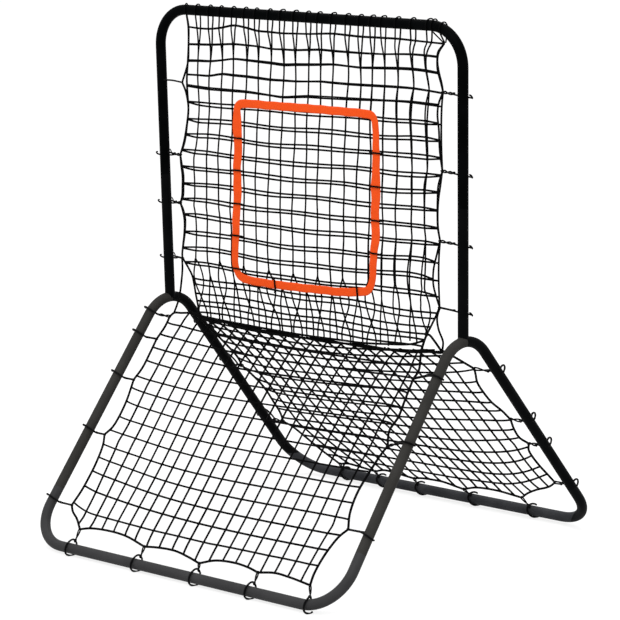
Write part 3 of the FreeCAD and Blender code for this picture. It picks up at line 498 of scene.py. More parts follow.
REAR_BOTTOM = (
    ((-473, 624), (-448, 641), (-424, 679), (-393, 732)), ((-351, 791), (-310, 781), (-274, 785)),
    ((-217, 794), (-170, 778), (-124, 783)), ((-70, 791), (-36, 782), (-2, 779), (44, 779), (82, 789)),
    ((109, 796), (162, 776), (206, 770), (250, 770), (286, 775)),
    ((322, 781), (357, 753), (401, 727), (455, 701)), ((489, 674),),
)
REAR_RIGHT = (
    ((449, 0, 556), (455, 25, 542), (455, 53, 527), (453, 94, 505)),
    ((452, 210), (443, 236), (431, 270), (431, 308), (439, 350), (457, 379)),
    ((469, 412), (459, 460), (461, 492)), ((482, 511), (466, 540), (464, 565), (471, 611), (480, 641)),
    ((489, 674),),
)
RIDGE = (
    (-447, 550), (-399, 542), (-296, 536), (-185, 532), (-38, 530), (122, 532), (313, 537), (449, 549),
)
HEM = ((-411, 545), (-296, 541), (-38, 537), (122, 540), (175, 541), (262, 548), (347, 558), (389, 571))


def moved(path, y):
    """The rope of one sheet, beside the other sheet's rope."""
    return np.array([upright_at(p[0], p[2] - BAR, y) if abs(p[1]) < 1e-6 else p for p in path])


left_front, left_rear = rope_path(UPPER_LEFT), rope_path(UPPER_LEFT_REAR)
right_front, right_rear = rope_path(UPPER_RIGHT), rope_path(UPPER_RIGHT_REAR)
left_a, left_b = rope_path(LEFT_TO_FRONT), rope_path(LEFT_TO_REAR)
right_a, right_b = rope_path(RIGHT_TO_FRONT), rope_path(RIGHT_TO_REAR)
ridge_line = smooth([upright_at(x, rise) for x, rise in RIDGE])
# Left, bottom and right rope of each lower net.
sides = {
    -1: [rope_path(spans, -1) for spans in (FRONT_LEFT, FRONT_BOTTOM, FRONT_RIGHT)],
    1: [rope_path(spans, 1) for spans in (REAR_LEFT, REAR_BOTTOM, REAR_RIGHT)],
}

for end_name, end, pair, low_pair in (
    ("front", -1, (left_front, right_front), (left_a, right_a)),
    ("rear", 1, (left_rear, right_rear), (left_b, right_b)),
):
    rope = Strands()
    for path, low, size in zip(pair, low_pair, (ROPE_R, RIGHT_ROPE_R)):
        rope.add(moved(path, end * SHEET_Y * 0.75), size)
        rope.add(low + np.array((0, end * 1.2, 0)), ROPE_R)
    rope.piece(f"upper_net_rope_{end_name}", rope_black, "rope", f"upper_edge_rope_{end_name}")
    rope = Strands()
    for path in sides[end]:
        rope.add(path, LOW_ROPE_R)
    rope.piece(f"lower_net_rope_{end_name}", rope_black, "rope", f"lower_edge_rope_{end_name}")


# Upper net: two sheets, 20 cells wide.

CELLS = 20
TOP_COLUMNS = (-437, -391, -344, -300, -257, -210, -168, -123, -79, -33, 13, 55, 99, 150, 195, 233, 272,
               317, 365, 418, 462)
LOW_COLUMNS = (-457, -413, -370, -324, -278, -229, -182, -137, -93, -50, -8, 33, 77, 122, 165, 207, 251,
               298, 350, 396, 441)
ROW_RISES = (1343, 1298, 1258, 1216, 1177, 1135, 1090, 1047, 1001, 956, 911, 866, 822, 775, 731, 689)
LOW_ROWS = {-1: (649, 609, 574), 1: (634, 589, 556)}
ROWS = len(ROW_RISES) + 3
# What the first rows add to their rises, by column, and the gaps between the two sheets there.
ROW_WAVES = (
    ((0, -2), (1, -2), (2, -2), (3, 2), (4, 10), (5, 6), (6, 0), (8, -2), (10, 1), (12, 6), (14, 3), (17, 4),
     (19, 1), (20, 0)),
    ((0, -4), (2, 0), (4, 4), (6, 0), (7, -5), (9, -6), (11, 1), (13, 3), (16, 4), (18, 8), (20, 11)),
    ((0, -9), (2, -5), (4, 4), (6, 0), (8, -4), (10, 2), (12, 8), (14, 5), (17, 8), (20, 10)),
    ((0, -5), (2, -3), (3, 4), (5, 1), (7, -3), (9, -2), (11, 3), (13, 2), (16, 2), (20, 2)),
    ((0, 4), (2, 1), (5, 0), (8, -6), (10, 1), (13, 3), (16, 5), (20, 9)),
)
ROW_GAPS = (1.0, 1.4, 2.5, 2.0, 3.0)
EDGE_PULL = 2.2  # columns over which the pull of an edge fades
TOP_TIE = 1373  # rise of the sheets' upper corners
LEFT_TAIL, RIGHT_TAIL = 690, 664  # rises below which the edge ropes leave the uprights' plane
LACED_RISE, LACED_ASIDE = 1376, 9.0  # where the columns end on their lacing, and how far aside
FOOT_RISE, FOOT_OUT = 1375.5, 12.6  # feet of the lacing's loops, beside the top bar


def edge_table(path):
    """Height and sideways place of an edge rope as seen in the plane of the uprights, and its true depth."""
    share = path[:, 1] / (path[:, 1] - CAMERA[1])
    seen = path + (CAMERA - path) * share[:, None]
    return np.column_stack([seen[:, 2], seen[:, 0], path[:, 1]])[np.argsort(seen[:, 2])]


# On the left both sheets end on the straight rope.
left_edge = edge_table(np.concatenate([left_rear, left_b[1:]]))
edges = {
    end: (left_edge, edge_table(np.concatenate([upper, right_a[1:]])))
    for end, upper in ((-1, right_front), (1, right_rear))
}


def edge_at(table, rise, column=1):
    """Sideways place of an edge at a rise, or its depth with column 2."""
    return np.interp(rise + BAR, table[:, 0], table[:, column])


def limits(rise, end):
    """Sideways places of a sheet's two edges."""
    return [edge_at(table, rise) for table in edges[end]]


def column_x(k, rise, end):
    """Sideways place of a column: even spacing, pulled in or out by the edges, with the bulges of the photo."""
    t = ease((TOP_TIE - rise) / 520)
    x, first, last = (TOP_COLUMNS[n] * (1 - t) + LOW_COLUMNS[n] * t for n in (k, 0, CELLS))
    left = edge_at(edges[end][0], max(rise, LEFT_TAIL)) - first
    right = edge_at(edges[end][1], max(rise, RIGHT_TAIL)) - last
    x += left * math.exp(-k / EDGE_PULL) + right * math.exp(-(CELLS - k) / EDGE_PULL)
    # Pulled to the left about (-110, 860), and to the right in the lower right part.
    x -= 7.5 * math.exp(-((x + 110) / 140) ** 2 - ((rise - 860) / 150) ** 2)
    x += 5.5 * ease((k - 13) / 3) * (1 - math.exp((k - CELLS) / 1.5)) * ease((1150 - rise) / 100)
    if rise < LEFT_TAIL:
        x += 26 * (LEFT_TAIL - rise) / 150 * math.exp(-k / 7)
    return x + 1.6 * math.sin(rise / 61 + k * 2.4) + 1.0 * math.sin(rise / 23 + k * 1.3)


def laced(k, rise, end):
    """How far aside a column runs near the top bar, to the foot of its lacing loop."""
    start = 1250 + 14 * math.sin(k * 2.1)
    return LACED_ASIDE * end * ease((rise - start) / (LACED_RISE - start))


# How far the sheets' cords stray from even spacing, in mm: sideways, then upwards, by place and by rise.
STRAY_X = (-420, -250, -85, 80, 245, 420)
STRAY_RISE = (1340, 1200, 1060, 920, 780, 640)
STRAY = np.reshape((
    -0.1, -2, 1.6, 2.2, 0.4, -0.1, -4.2, -0.8, -3.2, -1.4, -3.5, -1.3, -2.1, 1.7, -0.6, 0.3, -4.3, -4,
    -2.9, 2.3, 2.2, 2.7, -1.1, 1.3, -1.4, 3.4, 1, 2.2, -1.2, -1, -0.5, 0.6, -1.5, -0.4, -3.1, -0.1,
    -5.5, -0.1, -3.9, -0.5, 1.6, 0.1, 0, 0.7, -1.2, -1, -0.9, -0.4, 0.1, 2.3, -2.1, -1.6, -3.7, 0.2,
    0.2, 2.5, 0.7, 1.1, -0.2, 1.4, 0.7, 4.8, 1.4, 0.9, 4.4, -0.3, 0.5, 3.8, -2, -1.4, 2.9, 0.4,
), (2, 6, 6))


def strayed(x, rise, end):
    """Place and rise of a net point, moved inside the ropes as the slack cords hang."""
    low, high = limits(rise, end)
    inner = max(0.0, 1 - abs(2 * (x - low) / (high - low) - 1) ** 12)
    inner *= ease((rise - 585) / 40) * ease((1374 - rise) / 40)
    across = weights(STRAY_X, min(max(x, STRAY_X[0]), STRAY_X[-1]))
    up = weights(STRAY_RISE, min(max(rise, STRAY_RISE[-1]), STRAY_RISE[0]))
    return x + inner * (across @ STRAY[0] @ up), rise + inner * (across @ STRAY[1] @ up)


def sheet_point(x, rise, end):
    """Point of one sheet; it spreads to the bar's two sides and follows ropes that leave the plane."""
    x, rise = strayed(x, rise, end)
    y = end * (SHEET_Y + 9.1 * ease((rise - 1300) / 75) ** 2)
    if rise < RIGHT_TAIL:
        for table, inwards in zip(edges[end], (1, -1)):
            inside = max(0.0, (x - edge_at(table, rise)) * inwards)
            y += (edge_at(table, rise, 2) - end * SHEET_Y) * math.exp(-inside / 55)
    return upright_at(x, rise, y)


def hem_rise(x):
    return float(np.interp(x, *zip(*HEM)))


def row_rise(row, k, end):
    """Rise of a row at a column; the two sheets' rows part more in the middle than at the edges."""
    if row >= len(ROW_RISES):
        return LOW_ROWS[end][row - len(ROW_RISES)] + 2.5 * math.sin(k * 0.8 + row)
    base = ROW_RISES[row]
    if row < len(ROW_WAVES):
        base += float(np.interp(k, *zip(*ROW_WAVES[row])))
        gap = ROW_GAPS[row] * (0.4 + 1.2 * abs(math.sin(k * 0.33 + row)))
    else:
        base += 1.5 * math.sin(k * 0.9 + row * 1.7)
        gap = 9.2 + 1.3 * math.sin(k * 0.7 + row)
        base += (6.5 if row > 5 else 3.0) * ease((k - 16) / 3)
    # Row 1 bulges up about column 10, and rows 7 and 8 hang down about column 8.
    if row == 1:
        base += 4 * math.exp(-((k - 10) / 2.5) ** 2)
    if row in (7, 8):
        base -= 4 * math.exp(-((k - 8) / 2.5) ** 2)
    ramp = ease(min(k, CELLS - k) / 1.2) if row > 4 else 1.0
    return base - end * gap / 2 * max(ramp, 0.25)


for end_name, end in (("front", -1), ("rear", 1)):
    net = Strands()
    for row in range(ROWS):
        rises = [row_rise(row, k, end) for k in range(CELLS + 1)]
        start, stop = limits(rises[0], end)[0], limits(rises[-1], end)[1]
        places = [(start, rises[0])]
        for k in range(1, CELLS):
            x = column_x(k, rises[k], end)
            if start + 9 < x < stop - 9:
                places.append((x, rises[k]))
        places.append((stop, rises[-1]))
        line = [sheet_point(x, rise, end) for x, rise in places]
        net.add(smooth(line, 9.0), ROW_R if row > 4 else TOP_ROW_R, 6)
    for k in range(1, CELLS):
        # Below the split the columns of the two sheets swing apart, every other one further.
        split, swings = (705, 1.5) if k % 2 else (662, 0.55)
        line = []
        for rise in (FOOT_RISE, *range(1366, 700, -12), *range(700, 530, -7)):
            x = column_x(k, rise, end)
            low, high = limits(rise, end)
            if rise < hem_rise(x) or not low + 1 < x < high - 1:
                break
            x += laced(k, rise, end)
            if rise < split:
                swing = math.sin(swings * math.pi * ((split - rise) / (split - 545)))
                x += end * (14 + 3 * math.sin(k)) * swing
            line.append(sheet_point(x, rise, end))
        if k < 18:
            line.append(line[-1] + np.array((0.6 * end, 0, -9.0)))
        net.add(smooth(line, 9.0), COLUMN_R, 6)
        for row in range(len(ROW_RISES)):
            rise = row_rise(row, k, end)
            x = column_x(k, rise, end) + laced(k, rise, end)
            net.knot(sheet_point(x, rise, end), (1, 0, 0.3), 3.1)
    hem = [sheet_point(x, rise, end) for x, rise in HEM]
    net.add(smooth(hem, 8.0), ROW_R * 1.1, 7)
    net.piece(f"upper_mesh_{end_name}", net_black, "net_cord", f"upper_net_{end_name}")


# Lacing over the top bar.

lace = Strands()


def lace_loop(foot_front, foot_rear, x=None, drop=0.0, proud=17.5, tilt=0.0):
    """Cord over the bar; it stands proud on the far side of the top, tilted along the bar."""
    if x is None:
        x = (foot_front[0] + foot_rear[0]) / 2
    centre = np.array((x, 0.0, BAR + FRAME_RISE - drop))
    lean = (foot_front[0] - foot_rear[0]) / 2
    near = TUBE_R + LACE_R + 0.1
    line = [foot_front]
    for degrees, far in (
        (205, near), (180, near), (155, near), (128, near), (104, near + 0.2), (86, near + 0.8), (68, proud),
        (50, proud - 0.4), (28, near + 0.4), (4, near), (-22, near),
    ):
        a = math.radians(degrees)
        aside = tilt * max(0.0, far - near) - lean * math.cos(a)
        line.append(centre + np.array((aside, far * math.cos(a), far * math.sin(a))))
    line.append(foot_rear)
    lace.add(smooth(line, 3.0), LACE_R, 7)


for k in range(1, CELLS):
    feet = [upright_at(column_x(k, FOOT_RISE, end) + LACED_ASIDE * end, FOOT_RISE, end * FOOT_OUT)
            for end in (-1, 1)]
    # To the right of the seventh column the loops are seen wider and higher.
    wide = k > 7
    lace_loop(*feet, proud=16.9 + 0.5 * math.sin(k * 1.7) + (0.6 if wide else 0), tilt=2.4 if wide else 0.0)
lace_loop(*[upright_at(-431 + 3 * end, FOOT_RISE, end * FOOT_OUT) for end in (-1, 1)])
corner = upright_at(475, 1343)
lace_loop(corner + (-2, -2, 2), corner + (-3, 3, 2), 441, 0.3)
lace_loop(corner + (0, -2, 3), corner + (1, 2, 3), 470, 6.6)
lace.piece("top_lacing_cord", net_black, "net_cord", "top_lacing")


# Lower nets.

def gentle(path):
    """The same run without its scallops."""
    along = lengths(path) / lengths(path)[-1]
    base = path[0] + (path[-1] - path[0]) * along[:, None]
    hill = (along * (1 - along))[:, None]
    terms = np.hstack([hill, hill * along[:, None]])
    fit = np.linalg.lstsq(terms, path - base, rcond=None)[0]

    def at(t):
        h = t * (1 - t)
        return path[0] + (path[-1] - path[0]) * t + h * fit[0] + h * t * fit[1]
    return at


LOW_CELLS = 15
NET_U = (0.05, 0.2, 0.4, 0.6, 0.8, 0.95)
NET_V = (0.0, 0.22, 0.45, 0.68, 0.9)
# How far the cords sag from even spacing, in mm: sideways, then down the leg, by place across and down.
SAG = {
    -1: np.reshape((
        -4.3, -10.2, -12.9, -19.4, -12.6, -7.3, -9.9, -8.5, -6, -10.8, -11.7, -16.3, -13.7, -7.9, -5,
        -5.3, -8.5, -9.5, -6.9, -6.4, 4.8, 1, -7.7, -11.6, -16, 12.5, 19, 0.7, -8.6, -10.7,
        -2.2, -4.4, -2.3, -15.5, -16.1, -10.2, -5.3, -5.1, -13.8, -25.3, -13.9, -9, -6, -7.7, -18.9,
        -18.7, -13.3, -4.2, -2, -3.5, -20.4, -10.4, 1.6, 0.3, 0, -5.9, -7.9, 4.8, -2.2, -12.7,
    ), (2, 6, 5)),
    1: np.reshape((
        2.3, 1.3, 3.6, -3, -0.6, 12.6, -0.3, -3.2, -4.2, 6.2, 8.1, 4.2, -9.3, 5.1, 0.2,
        8, 1, -9.5, -9.3, 2.2, 1, -0.2, -6.2, -11.7, -16, -1.3, -10.9, -6.6, -1.6, -6.3,
        -2.4, -0.2, 15.2, 5.4, -3.4, -9, -14.3, 0.3, -6.6, 2.7, -5.8, -27.7, -21.5, -23.4, -10.5,
        -6.8, -33.6, -34, -27.8, -19.2, -9.7, -25.9, -29, -19.3, -3.6, -1.3, -7.4, -6.2, -5.7, -12,
    ), (2, 6, 5)),
}


class Patch:
    """Net surface held by four edge lines; the edges' scallops fade out inwards."""

    def __init__(self, end, top, bottom, left, right, anchors):
        self.end = end
        self.runs = {}
        for name, path in (("top", top), ("bottom", bottom), ("left", left), ("right", right)):
            along = lengths(path)
            marks = np.asarray(anchors.get(name, np.linspace(0, along[-1], 21)), float)
            self.runs[name] = (path, along, np.linspace(0, 1, len(marks)), marks, gentle(path))

    def edge(self, name, t):
        """Point of an edge line, and the same without the scallops."""
        path, along, steps, marks, plain = self.runs[name]
        place = np.interp(t, steps, marks)
        return np.array([np.interp(place, along, row) for row in path.T]), plain(place / along[-1])

    def at(self, u, v):
        top, top_s = self.edge("top", u)
        bottom, bottom_s = self.edge("bottom", u)
        left, left_s = self.edge("left", v)
        right, right_s = self.edge("right", v)

        def between(high, low):
            return (1 - v) * high + v * low

        def scalloped(base, high, low):
            """The base with what is left of the scallops of its upper and lower end."""
            return base + high * (1 - v) ** 16 + low * v**40

        point = scalloped(between(top_s, bottom_s), top - top_s, bottom - bottom_s)
        for edge, edge_s, w, place in ((left, left_s, 1 - u, 0.0), (right, right_s, u, 1.0)):
            t0, t0s = self.edge("top", place)
            b0, b0s = self.edge("bottom", place)
            ruled = between(t0s, b0s)
            base = scalloped(ruled, t0 - t0s, b0 - b0s)
            broad = edge_s - ruled
            point = point + broad * w**3 + (edge - base - broad) * w**26
        inner = (1 - (2 * u - 1) ** 12) * (1 - v**8)
        across, down = weights(NET_U, u), weights(NET_V, v)
        sideways = inner * (across @ SAG[self.end][0] @ down)
        fall = inner * (1 - (1 - v) ** 8) * (across @ SAG[self.end][1] @ down)
        return point + np.array((sideways, self.end * OUT * fall, -DOWN * fall))


FRONT_LEFT_ROWS = (142, 180, 222, 264, 314, 350, 392, 440, 484, 528, 567, 609, 655, 708)
FRONT_RIGHT_ROWS = [96 + 45.2 * n for n in range(1, 15)]
FRONT_TOP_COLUMNS = [-447 + 47 * n for n in range(19)]
FRONT_COLUMNS = (-410, -365, -321, -276, -231, -190, -142, -98, -52, -9, 38, 84, 127, 171, 215, 262, 307, 353, 399)
REAR_RIGHT_ROWS = (112, 165, 213, 265, 308, 349, 378, 415, 455, 490, 526, 565, 610, 640)


def cut_at(path, point):
    return int(np.linalg.norm(path - point, axis=1).argmin())


def marks_at(path, values, wanted):
    """Lengths along a path at which a value that grows along it reaches each wanted one, with both ends."""
    along = lengths(path)
    values = np.maximum.accumulate(values) + np.arange(len(path)) * 1e-6
    return [0.0, *np.interp(wanted, values, along), along[-1]]


def row_marks(path, end, wanted):
    """The same for distances down the leg."""
    return marks_at(path, end * path[:, 1] * OUT + (APEX - path[:, 2]) * DOWN, wanted)


def front_patch():
    left, bottom, right = sides[-1]
    cut = cut_at(left, np.array((-457, -52, BAR + 556)))
    top = np.concatenate([left[:cut + 1][::-1], ridge_line])
    left = left[cut:]
    start = lengths(top)[cut]
    spots = np.interp(FRONT_TOP_COLUMNS, ridge_line[:, 0], lengths(ridge_line))
    return Patch(-1, top, bottom, left, right, {
        "top": [0.0, *(start + spots), lengths(top)[-1]],
        "left": row_marks(left, -1, FRONT_LEFT_ROWS),
        "right": row_marks(right, -1, FRONT_RIGHT_ROWS),
        "bottom": marks_at(bottom, bottom[:, 0], FRONT_COLUMNS),
    })


def rear_patch():
    left, bottom, right = sides[1]
    cut = cut_at(bottom, leg_at(-351, 791, 1))
    left = np.concatenate([left, bottom[1:cut + 1]])
    return Patch(1, ridge_line, bottom[cut:], left, right, {"right": row_marks(right, 1, REAR_RIGHT_ROWS)})


for end_name, end, patch, lean in (("front", -1, front_patch(), 0), ("rear", 1, rear_patch(), 2)):
    def row_place(row, u):
        """Place of a row down the net; the rear net's rows climb to the right and end on the ridge rope."""
        extra = lean * (1 - u)
        return (row + extra) / (LOW_CELLS + extra)

    net = Strands()
    rows = range(1 - lean, LOW_CELLS)
    for row in rows:
        line = []
        for u in np.concatenate([[0, 0.015], np.arange(1, 40) / 40, [0.985, 1]]):
            v = row_place(row, u)
            if v > 0.002:
                line.append(patch.at(u, v))
        net.add(smooth(line, 11.0), LOW_CORD_R, 6)
    for column in range(1, CELLS):
        u = column / CELLS
        line = [patch.at(u, v) for v in np.concatenate([[0], np.arange(1, 30) / 30, [0.985, 1]])]
        net.add(smooth(line, 11.0), LOW_CORD_R, 6)
        for row in rows:
            if row_place(row, u) > 0.01:
                net.knot(patch.at(u, row_place(row, u)), (1, 0, 0.3), 3.6)
    net.piece(f"lower_mesh_{end_name}", net_black, "net_cord", f"lower_net_{end_name}")

ridge = Strands()
for turn_start in (0.0, math.pi):
    along = lengths(ridge_line)
    twist = along / 46 + turn_start
    offset = np.stack([np.zeros_like(twist), np.cos(twist) * 2.4, np.sin(twist) * 2.4], 1)
    ridge.add(ridge_line + offset, RIDGE_R, 8)
for side_x in (-449, 451):
    ridge.knot(upright_at(side_x, 550), (1, 0, 0), 6.0)
ridge.piece("ridge_rope_laid", rope_black, "rope", "ridge_rope")


# Hooks and elastic loops. Each tube's ties are the points on which these spans of the ropes begin.

TIES = {
    "left_upright": UPPER_LEFT[2:],
    "right_upright": UPPER_RIGHT[1:],
    "front_left_leg": FRONT_LEFT[1:],
    "front_right_leg": FRONT_RIGHT[1:-1],
    "rear_left_leg": (((-464, 203),), *REAR_LEFT[1:]),
    "rear_right_leg": REAR_RIGHT[1:],
    "front_bar": FRONT_BOTTOM[1:],
    "rear_bar": REAR_BOTTOM[1:-1],
}
HIDDEN_TIE = np.array((-463.0, 122.0, BAR + 463))  # first tie of the rear left leg, behind the front net
RIGHT_LEG_PLACES = (172, 368, 619)  # of the hooks down the front right leg
# How the hooks differ from tie to tie: shift along a bar, slant across a leg, and upward curl.
RING_SHIFT = {"front_bar": (0, 0, 6, 2, 25), "rear_bar": (-3, 1, -1, 13, 9)}
SLANT = {"front_left_leg": (0.22,) * 5, "front_right_leg": (-0.12, 0.0, -0.3)}
REAR_LIFT = (3, 14, 11, 0)
# Bends of a wire hook: towards the net, outwards, and up the tube.
HOOK = (
    (19, -7, 5), (25, -7, 4.5), (31, -4, 3), (34, 0.5, 1), (32, 5, 0), (26, 9.5, 0), (17, 14, 0),
    (7, 17.5, 0), (-4, 18.6, 0), (-13.5, 15, 0), (-19.5, 8.5, 0), (-21.8, 3, 0.5), (-21.8, -1.5, 2),
)
REAR_HOOK = (
    (22, -6, 6), (28, -5.5, 5), (33, -1, 3), (33, 3, -1), (27, 7, -8), (20, 11, -13), (13, 15, -12),
    (4, 18.4, -5), (-4, 19.5, 2), (-12, 18.8, 7), (-18.5, 15.8, 9), (-23, 10.5, 9), (-24.5, 4, 7), (-23, -2, 4),
    (-19, -6, 1),
)
UPRIGHT_HOOK = (
    *HOOK[:4], (32, 5, -1), (26, 9.5, -3), (17, 14, -5.5), (7, 18, -7), (-4, 18.8, -7),
    (-13, 16.5, -7), (-21, 10.5, -6.5), (-27, 4, -5.5), (-30, -1, -2), (-28.5, -3.5, 1.5), (-23, -4, 3.5),
)
# Rings round the ground bars: along the bar, then across it and up, from the bar's centre.
FRONT_RING = (
    (1, 19, -1), (1, 22, 7), (0, 20, 15), (0, 14, 21), (0, 6, 22.5), (0, -3, 19.8), (0, -11.5, 14.6),
    (0, -17.5, 6.5), (0, -19.6, -1), (0, -19, -8), (2, -15.5, -13.8), (4, -9, -16.6), (6, -3, -17.2),
    (8, 3, -16.6), (9, 7, -15.3),
)
REAR_RING = (
    (3, 18, 12), (1, 11, 16.5), (-1, 2, 18.5), (-3, -8, 17.3), (-4, -15.5, 12), (-3, -18.7, 4), (0, -18.2, -3),
    (4, -14, -10.5), (9, -6, -15.6), (13, 2, -16.5), (16, 10, -15.5), (17, 16, -12.5),
)
EYE = 32.0  # from the tube's centre to the elastic's hold on a hook
EYE_R = 3.0


def tube_frame(tube, place):
    """Centre of a tube at a tie, the way to the net, the hook's side and the tube's own way."""
    if tube.endswith("upright"):
        side = -1 if tube.startswith("left") else 1
        low = np.array((side * ARCH_X, 0, APEX))
        axis = unit(np.array((side * TOP_X, 0, BAR + FRAME_RISE)) - low)
        point = low + axis * ((BAR + place - APEX) / axis[2])
        return point, unit(np.array((-side, 0, 0)) + axis * axis[0] * side), np.array((0, 1.0, 0)), axis
    end = -1 if tube.startswith("front") else 1
    outward = np.array((0, end * DOWN, OUT))
    if tube.endswith("bar"):
        point = np.array((place, end * FOOT_Y, BAR))
        return point, np.array((0, -end * OUT, DOWN)), outward, np.array((1.0, 0, 0))
    side = -1 if "left" in tube else 1
    low = np.array((side * FOOT_X, end * FOOT_Y, BAR))
    high = np.array((side * ARCH_X, 0, APEX))
    axis = unit(low - high)
    way = np.array((-side, 0.0, 0.0))
    inward = unit(way - axis * axis.dot(way))
    return high + axis * place, inward, outward, axis


def rope_way(point):
    """Direction of the nearest rope."""
    best = None
    for path in (left_front, right_front, *sides[-1], *sides[1]):
        gap = np.linalg.norm(path - point, axis=1)
        n = int(gap.argmin())
        if best is None or gap[n] < best[0]:
            best = (gap[n], path[min(n + 1, len(path) - 1)] - path[max(n - 1, 0)])
    return unit(best[1])


def elastic(strands, start, start_way, start_r, stop, stop_way, half_turns, waist, size):
    """Closed loop of cord round a rope and a hook's wire, twisted between them."""
    run = stop - start
    reach = np.linalg.norm(run)
    a = run / reach
    p0, p1 = unit(np.cross(a, start_way)), unit(np.cross(a, stop_way))
    other = np.cross(a, p0)
    angle = math.atan2(np.cross(p0, p1).dot(a), p0.dot(p1)) + half_turns * math.pi
    s = np.linspace(0, 1, 22)[:, None]
    way = np.cos(angle * s) * p0 + np.sin(angle * s) * other
    width = (start_r * (1 - s) + EYE_R * s) * (1 - waist * np.sin(math.pi * s) ** 0.7)
    one = start + a * reach * s + way * width
    two = (start + a * reach * s - way * width)[::-1]
    t = np.linspace(0, math.pi, 9)[1:-1, None]
    far = stop + EYE_R * (np.cos(t) * way[-1] + np.sin(t) * a)
    near = start + start_r * (-np.cos(t) * way[0] - np.sin(t) * a)
    strands.add(np.concatenate([one, far, two, near]), size, 7, closed=True)


def ring(tube, number, point, axis):
    """Wire of a ring round a ground bar, and its eye; the front bar's last ring is turned on the bar."""
    point = point + axis * RING_SHIFT[tube][number]
    if tube == "rear_bar":
        return smooth([point + bend for bend in REAR_RING], 2.5), point + np.array((0, -12.6, 14.4))
    skew = -0.6 if number == 4 else 0.0
    wire = smooth([point + np.array((u + skew * max(v, 0), v, w), float) for u, v, w in FRONT_RING], 2.5)
    return wire, point + np.array((skew * 18.0, 18.0, 16.5))


def hook(tube, number, point, inward, outward, along):
    """Wire of a hook on an upright or a leg, and its eye."""
    bends = UPRIGHT_HOOK
    if tube in SLANT:
        slant = SLANT[tube][number]
        bends = [(u, v, w + slant * (EYE - u) * (n > 3)) for n, (u, v, w) in enumerate(HOOK)]
    elif tube.startswith("rear"):
        lift = REAR_LIFT[number]
        bends = [(u, v, w + lift * min(max(n - 4, 0) / 4, 1)) for n, (u, v, w) in enumerate(REAR_HOOK)]
    wire = smooth([point + inward * u + outward * v + along * w for u, v, w in bends], 2.5)
    return wire, point + inward * EYE + outward * 0.5 + along


for tube, spans in TIES.items():
    hooks, loops = Strands(), Strands()
    upright, bar, end = tube.endswith("upright"), tube.endswith("bar"), -1 if tube.startswith("front") else 1
    plain = end > 0 and not upright and not bar  # the rear legs' loops aren't twisted
    for number, (x, distance) in enumerate(span[0] for span in spans):
        rope_point = upright_at(x, distance) if upright else leg_at(x, distance, end)
        place = x if bar else distance
        if tube == "right_upright":
            place -= 4
        elif tube == "front_right_leg":
            place = RIGHT_LEG_PLACES[number]
        elif tube == "rear_left_leg" and number == 0:
            rope_point = HIDDEN_TIE
        point, inward, outward, axis = tube_frame(tube, place)
        way = axis if axis[2] >= 0 else -axis
        wire, eye = ring(tube, number, point, axis) if bar else hook(tube, number, point, inward, outward, way)
        along = lengths(wire) / lengths(wire)[-1]
        tip = np.minimum(along, 1 - along)
        size = WIRE_R * (1.0 if upright else 1.18) * np.clip(0.45 + tip * 28, 0.45, 1.0)
        # The wires under the ground bars thin where they would dip into the floor.
        hooks.add(wire, np.minimum(size, wire[:, 2] - 0.3), 8)
        elastic(loops, rope_point, rope_way(rope_point), 3.4 if plain or upright else 2.8, eye, way,
                0 if plain else 1, 0.05 if plain else 0.3, 2.0 if bar else STRAND_R)
        if tube == "left_upright":
            tail = [eye + np.array(step) for step in ((-3, -2, 0), (-5, -3, 7), (-9, -3, 12))]
            loops.add(smooth(tail, 3.0), STRAND_R * 0.8, 6)
    if tube == "left_upright":
        start = tube_frame(tube, 1191)[0] + np.array((15.2, 0, 0))
        stop = upright_at(-454, 1188, -2)
        line = [start + np.array((-2, -7, 1)), start, start * 0.62 + stop * 0.38 + np.array((0, 0, 1.5)), stop]
        loops.add(smooth(line, 3.0), STRAND_R * 1.1, 8)
        loops.knot(stop, (1, 0, 0), 3.6)
    hooks.piece(f"wire_hooks_{tube}", wire_black, "hook_wire", f"hooks_{tube}")
    loops.piece(f"elastic_loops_{tube}", elastic_black, "elastic_cord", f"elastic_ties_{tube}")


# Target: webbing sewn to the front sheet.

BAND = (
    (-232, 1145), (-200, 1148), (-143, 1148), (-57, 1149), (28, 1150), (112, 1150), (195, 1150), (222, 1149),
    (236, 1145), (244, 1133), (247, 1110), (247, 1092), (247, 1051), (246, 1010), (244, 970), (243, 925),
    (240, 892), (240, 870), (242, 850), (240, 820), (234, 790), (232, 765), (230, 740), (227, 712),
    (222, 698), (211, 686), (185, 678.5), (157, 675), (129, 672), (101, 670), (44, 669), (-12, 667),
    (-70, 666), (-129, 665), (-187, 666), (-217, 667), (-238, 671), (-252, 678), (-260, 690), (-264, 706),
    (-265, 735), (-262, 765), (-259, 800), (-257, 840), (-252, 872), (-250, 905), (-249, 945), (-250, 968),
    (-246, 1000), (-243, 1030), (-245, 1060), (-245, 1098), (-245, 1118), (-242, 1136),
)
BAND_SHIFT, BAND_THICK, BAND_Y, LEVEL_WIDTH = (-6.2, -1.8), 1.3, -6.6, 22.9
# Width of the band down its left and right side; it is stretched unevenly where the cords hold it.
LEFT_WIDTH = (
    (690, 24), (747, 25), (789, 27), (830, 29), (871, 27.5), (912, 31.5), (953, 29), (995, 29.5), (1036, 30),
    (1077, 34.5), (1105, 31), (1135, 24),
)
RIGHT_WIDTH = (
    (710, 22), (752, 25.5), (794, 27), (835, 29), (876, 29.5), (917, 29), (958, 34), (1000, 26.5), (1041, 26),
    (1082, 22.5), (1130, 22.5),
)
# Section of the band: across it in widths, and its thickness towards the front.
SECTION = ((-0.5, 0), (-0.485, 0.5), (-0.3, 0.62), (0, 0.55), (0.3, 0.62), (0.485, 0.5), (0.5, 0), (0.485, -0.5),
           (0, -0.5), (-0.485, -0.5))


